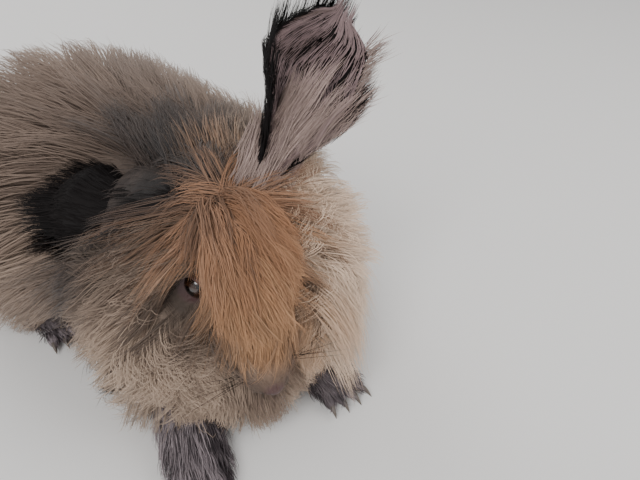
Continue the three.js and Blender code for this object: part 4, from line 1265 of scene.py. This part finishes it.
class Paint:
    """A material and its nodes."""

    def __init__(self, name, roughness):
        self.material = bpy.data.materials.new(name)
        self.material.use_nodes = True
        self.tree = self.material.node_tree
        self.surface = self.tree.nodes["Principled BSDF"]
        self.surface.inputs["Roughness"].default_value = roughness

    def node(self, kind, settings, values, output=0):
        made = self.tree.nodes.new(kind)
        for key, setting in settings.items():
            setattr(made, key, setting)
        for key, value in values.items():
            self.feed(made.inputs[key], value)
        return Wire(self, made.outputs[output])

    def feed(self, socket, value):
        if isinstance(value, Wire):
            self.tree.links.new(value.socket, socket)
        else:
            socket.default_value = value

    def finished(self, values):
        """Feeds the surface's sockets by name and gives the material."""
        for key, value in values.items():
            self.feed(self.surface.inputs[key], value)
        return self.material

    def attribute(self, name, output="Fac"):
        return self.node("ShaderNodeAttribute", {"attribute_name": name}, {}, output)

    def vector(self, operation, first, second, output="Vector"):
        return self.node("ShaderNodeVectorMath", {"operation": operation}, {0: first, 1: second}, output)

    def scaled(self, colour, amount):
        settings = {"operation": "SCALE"}
        return self.node("ShaderNodeVectorMath", settings, {0: colour, "Scale": amount}, "Vector")

    def mix(self, first, second, share):
        return self.node("ShaderNodeMix", {"data_type": "RGBA"}, {0: share, 6: first, 7: second}, 2)

    def noise(self, place, size, detail=2.0):
        """Noise from 0 to 1 whose lumps are about that many millimetres across."""
        small = self.scaled(place, 1 / size)
        return self.node("ShaderNodeTexNoise", {}, {"Vector": small, "Scale": 1.0, "Detail": detail})

    def zone(self, place, at, radii, soft):
        """1 inside an ellipsoid, falling to 0 over its soft rim."""
        away = self.vector("SUBTRACT", place, tuple(float(c) for c in at))
        away = self.vector("DIVIDE", away, tuple(float(c) for c in radii))
        distance = self.node("ShaderNodeVectorMath", {"operation": "LENGTH"}, {0: away}, "Value")
        return ((1 + soft - distance) / (2 * soft)).clamped()


def in_head(x, y, z):
    return carried((x, y, z), HEAD_POSE)


# Markings of the wool, where the dark patch round the right eye is partly painted shade, and a near black
# patch under the right ear: colour, strength, place, radii and softness of the rim, painted in this order
BEHIND_EAR = carried(np.array(EARS["ear_right"]["root"]) + (-14, 12, 2), HEAD_POSE)
MARKINGS_AND_SHADE = [
    (TAN, 0.8, (-60, 20, 90), (120, 110, 110), 0.3),
    (SMOKE, 0.75, (-10, -20, 176), (70, 90, 36), 0.5),
    (SMOKE, 0.6, (-110, 10, 150), (60, 70, 50), 0.5),
    (SOOT, 0.95, (-34, -84, 160), (74, 50, 44), 0.45),
    (SOOT, 0.95, (-84, -96, 112), (42, 34, 38), 0.45),
    (FAWN, 0.9, in_head(46, -60, -44), (46, 56, 66), 0.35),
    (ORANGE, 0.95, in_head(7, -50, -4), (31, 46, 42), 0.3),
    (ORANGE, 0.9, in_head(16, -88, -8), (27, 40, 36), 0.35),
    (RUST, 0.6, in_head(6, -22, 4), (26, 22, 20), 0.5),
    (SMOKE, 0.8, in_head(-16, 2, 6), (16, 14, 14), 0.6),
    (MUZZLE_BROWN, 0.85, in_head(0, -120, -28), (26, 22, 20), 0.4),
    # Dark fur round the right eye, partly painted shade from the locks that hang over its hollow.
    (SOOT, 0.8, eye_place(RIGHT, 6), (24, 24, 26), 0.4),
    # Near black under the laid-back right ear.
    (NEAR_BLACK, 0.9, BEHIND_EAR, (38, 24, 30), 0.35),
    (SOOT, 0.75, eye_place(LEFT, 4), (11, 13, 17), 0.5),
]
BARE_SPOTS = [(in_head(*NOSE[0]), 6.5), (eye_place(LEFT, 4), 10.2), (eye_place(RIGHT, 4), 10.2)]


def wool_colour(paint):
    """The coat's markings and the painted shade round the right eye, by the place of each root, with smoky
    patches over the back.
    """
    place = paint.attribute("rooted", "Vector")
    patches = ((paint.noise(place, 46) - 0.5) * 5).clamped()
    colour = paint.mix(BEIGE, TAN, patches)
    for marking_and_shade, strength, at, radii, soft in MARKINGS_AND_SHADE:
        ragged = (paint.noise(place, 13) - 0.5) * 0.5
        mask = ((paint.zone(place, at, radii, soft) + ragged * 0.6) * strength).clamped()
        within = paint.zone(place, at, np.array(radii) * 1.5, 0.1)
        colour = paint.mix(colour, marking_and_shade, mask * within)
    return place, colour


def wool_material():
    paint = Paint("wool", 0.72)
    _, colour = wool_colour(paint)
    tint, along = paint.attribute("tint"), paint.attribute("along")
    under = ((0.32 - tint) * 2.2).clamped()
    colour = paint.mix(colour, SMOKE, under * 0.4)
    colour = paint.scaled(colour, 0.7 + tint * 0.34 + along * 0.2)
    return paint.finished({"Base Color": colour, "Sheen Weight": 0.12, "Specular IOR Level": 0.25})


def wool_skin_material():
    paint = Paint("wool_skin", 0.8)
    place, colour = wool_colour(paint)
    grain = paint.noise(place, 2.2, detail=4.0)
    colour = paint.scaled(colour, 0.5 + grain * 0.5)
    bare = 0.0
    for at, radius in BARE_SPOTS:
        bare = paint.zone(place, at, (radius,) * 3, 0.15) + bare
    bare = bare.clamped()
    colour = paint.mix(colour, BARE_SKIN, bare)
    # Painted shade: the mouth, the cleft under the nose and the nostrils are darkened to near black by how
    # deep in their grooves the skin lies.
    colour = paint.mix(colour, NEAR_BLACK, paint.attribute("groove"))
    bump = paint.node("ShaderNodeBump", {}, {"Strength": 0.6, "Distance": 0.001, "Height": grain})
    return paint.finished({"Base Color": colour, "Roughness": 0.8 - bare * 0.35, "Normal": bump})


def fur_material(name, pale, dark, patch_size, patch_share, shine=0.25):
    """Short fur of one colour with darker streaks."""
    paint = Paint(name, 0.6)
    place = paint.attribute("rooted", "Vector")
    patches = ((paint.noise(place, patch_size) - 1 + patch_share) * 6 + 0.5).clamped()
    colour = paint.mix(pale, dark, patches)
    tint, along = paint.attribute("tint"), paint.attribute("along")
    colour = paint.scaled(colour, 0.6 + tint * 0.55 + along * 0.15)
    return paint.finished({"Base Color": colour, "Specular IOR Level": shine})


def eye_material():
    paint = Paint("eye", 0.04)
    from_pupil = paint.attribute("along")
    colour = paint.mix(IRIS, PUPIL, ((0.30 - from_pupil) * 30).clamped())
    colour = paint.mix(colour, EYE_RIM, ((from_pupil - 0.47) * 20).clamped())
    return paint.finished({"Base Color": colour, "Coat Weight": 1.0, "Coat Roughness": 0.02})


def plain_material(name, colour, roughness):
    return Paint(name, roughness).finished({"Base Color": colour})


WOOL = wool_material()
WOOL_SKIN = wool_skin_material()
EAR_BACK = fur_material("ear_back_fur", SOOT, NEAR_BLACK, 14, 0.85, shine=0.12)
EAR_CUP = fur_material("ear_cup_fur", EAR_GREY, SMOKE, 16, 0.35)
EAR_HAIR = fur_material("ear_long_hair", EAR_PALE, EAR_GREY, 10, 0.35)
PAW = fur_material("paw_fur", PAW_GREY, PAW_DARK, 9, 0.5)
EYE_GLOSS = eye_material()
CLAW = plain_material("claw_horn", CLAW_HORN, 0.35)


def add_part(piece, slot, *nodes):
    """Puts a piece on the body and hides the solids that it stands for. Its slot is not used."""
    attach(piece, BODY)
    if nodes:
        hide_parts(*nodes)


def build_skin():
    head, head_groove = head_skin()
    parts = skin_parts(head)
    points, triangles = joined([part for part, _ in parts])
    # How deep in the grooves of the mouth, the cleft and the nostrils each point lies, which the skin's
    # material paints as shade.
    groove = np.zeros(len(points))
    groove[: len(head_groove)] = head_groove
    attributes = {
        "rooted": points,
        "along": np.zeros(len(points)),
        "tint": np.full(len(points), 0.5),
        "groove": groove,
    }
    skin = new_mesh("skin", points, triangles, [WOOL_SKIN, EAR_BACK, PAW], attributes)
    numbers = np.concatenate([np.full(len(part[1]), number, np.int32) for part, number in parts])
    skin.data.polygons.foreach_set("material_index", numbers)
    add_part(skin, "skin", "head", "neck", "torso", "tail", *EARS, *LEGS)


def build_eye(name, side, rounds=40, rings=28):
    directions = ball_directions(rounds, rings)
    points = carried(mirrored(EYE, side) + directions * EYE_RADIUS, HEAD_POSE)
    angle = np.arccos(np.clip(directions @ gaze(side), -1, 1)) / math.pi * 2
    triangles = faced_outward(points, grid_triangles(rings, rounds, True))
    eye = new_mesh(name + "_ball", points, triangles, [EYE_GLOSS], {"along": angle})
    add_part(eye, "eye", name)


build_skin()
build_eye("eye_left", LEFT)
build_eye("eye_right", RIGHT)
add_part(new_mesh("claws", *claws(), [CLAW], {}), "claw")

for form, wool, slot in (
    (TRUNK, TRUNK_WOOL, "wool_beige"),
    (RUFF, RUFF_WOOL, "wool_beige"),
    (HEAD, HEAD_WOOL_LOCKS, "wool_fawn"),
):
    lock_piece(form.tile + "_wool", form_locks(form, wool), wool, WOOL, gather=0.45, cleared=True)
    undercoat(form, WOOL)
    loose = LOOSE._replace(locks=LOOSE_LOCKS[form.tile])
    lock_piece(form.tile + "_loose", form_locks(form, loose), loose, WOOL, 1.2, 8, cleared=True)
lock_piece("bangs", bang_locks(), BANGS, WOOL, gather=0.3, apart=5, cleared=True)
lock_piece("nape_wool", nape_locks(), NAPE, WOOL, gather=0.5, apart=9, cleared=True)
lock_piece("jowl_wool", jowl_locks(), JOWL, WOOL, gather=0.4, apart=9, cleared=True)
lock_piece("muzzle_fur", muzzle_locks(), MUZZLE, WOOL, gather=0.6, apart=3)
face_fur(WOOL)
whiskers(EAR_BACK)
lock_piece("tail_wool", tail_locks(), TAIL_FUR, WOOL, apart=7)
for name in EARS:
    ear_fur(name, EAR_BACK, EAR_CUP, EAR_HAIR)
for name in LEGS:
    leg_fur(name, LEG_FUR if name.startswith("foreleg") else HIND_FUR, PAW)
    leg_fringe(name, PAW)


# Floor, light and camera
def stage_floor(size=6000):
    corners = [(-size, -size, 0), (size, -size, 0), (size, size, 0), (-size, size, 0)]
    points = np.array(corners) - SHIFT * (1, 1, 0)
    triangles = np.array([(0, 1, 2), (0, 2, 3)])
    new_mesh("floor", points, triangles, [plain_material("pale_floor", FLOOR, 0.9)], {})


def area_light(name, place, target, size, watts):
    light = bpy.data.lights.new(name, "AREA")
    light.shape = "DISK"
    light.size = size
    light.energy = watts
    made = bpy.data.objects.new(name, light)
    made.location = place
    made.rotation_euler = (Vector(place) - Vector(target)).to_track_quat("Z", "Y").to_euler()
    bpy.context.scene.collection.objects.link(made)


def sky(strength):
    world = bpy.data.worlds.new("studio")
    world.use_nodes = True
    background = world.node_tree.nodes["Background"]
    background.inputs["Color"].default_value = (1, 1, 1, 1)
    background.inputs["Strength"].default_value = strength
    bpy.context.scene.world = world


def camera():
    azimuth, elevation = math.radians(CAMERA_AZIMUTH), math.radians(CAMERA_ELEVATION)
    back = Vector((
        math.sin(azimuth) * math.cos(elevation),
        -math.cos(azimuth) * math.cos(elevation),
        math.sin(elevation),
    ))
    right = Vector((0, 0, 1)).cross(back).normalized()
    up = back.cross(right)
    turn = Matrix.Rotation(math.radians(CAMERA_ROLL), 3, back)
    basis = Matrix((turn @ right, turn @ up, back)).transposed()
    lens = bpy.data.cameras.new("camera")
    lens.lens = CAMERA_LENS
    lens.sensor_width = CAMERA_SENSOR
    made = bpy.data.objects.new("camera", lens)
    at = Vector(placed(CAMERA_TARGET)) + back * CAMERA_DISTANCE * MM
    made.matrix_world = Matrix.LocRotScale(at, basis, None)
    bpy.context.scene.collection.objects.link(made)
    bpy.context.scene.camera = made


stage_floor()
for light in LIGHTS:
    area_light(*light)
sky(SKY)
camera()
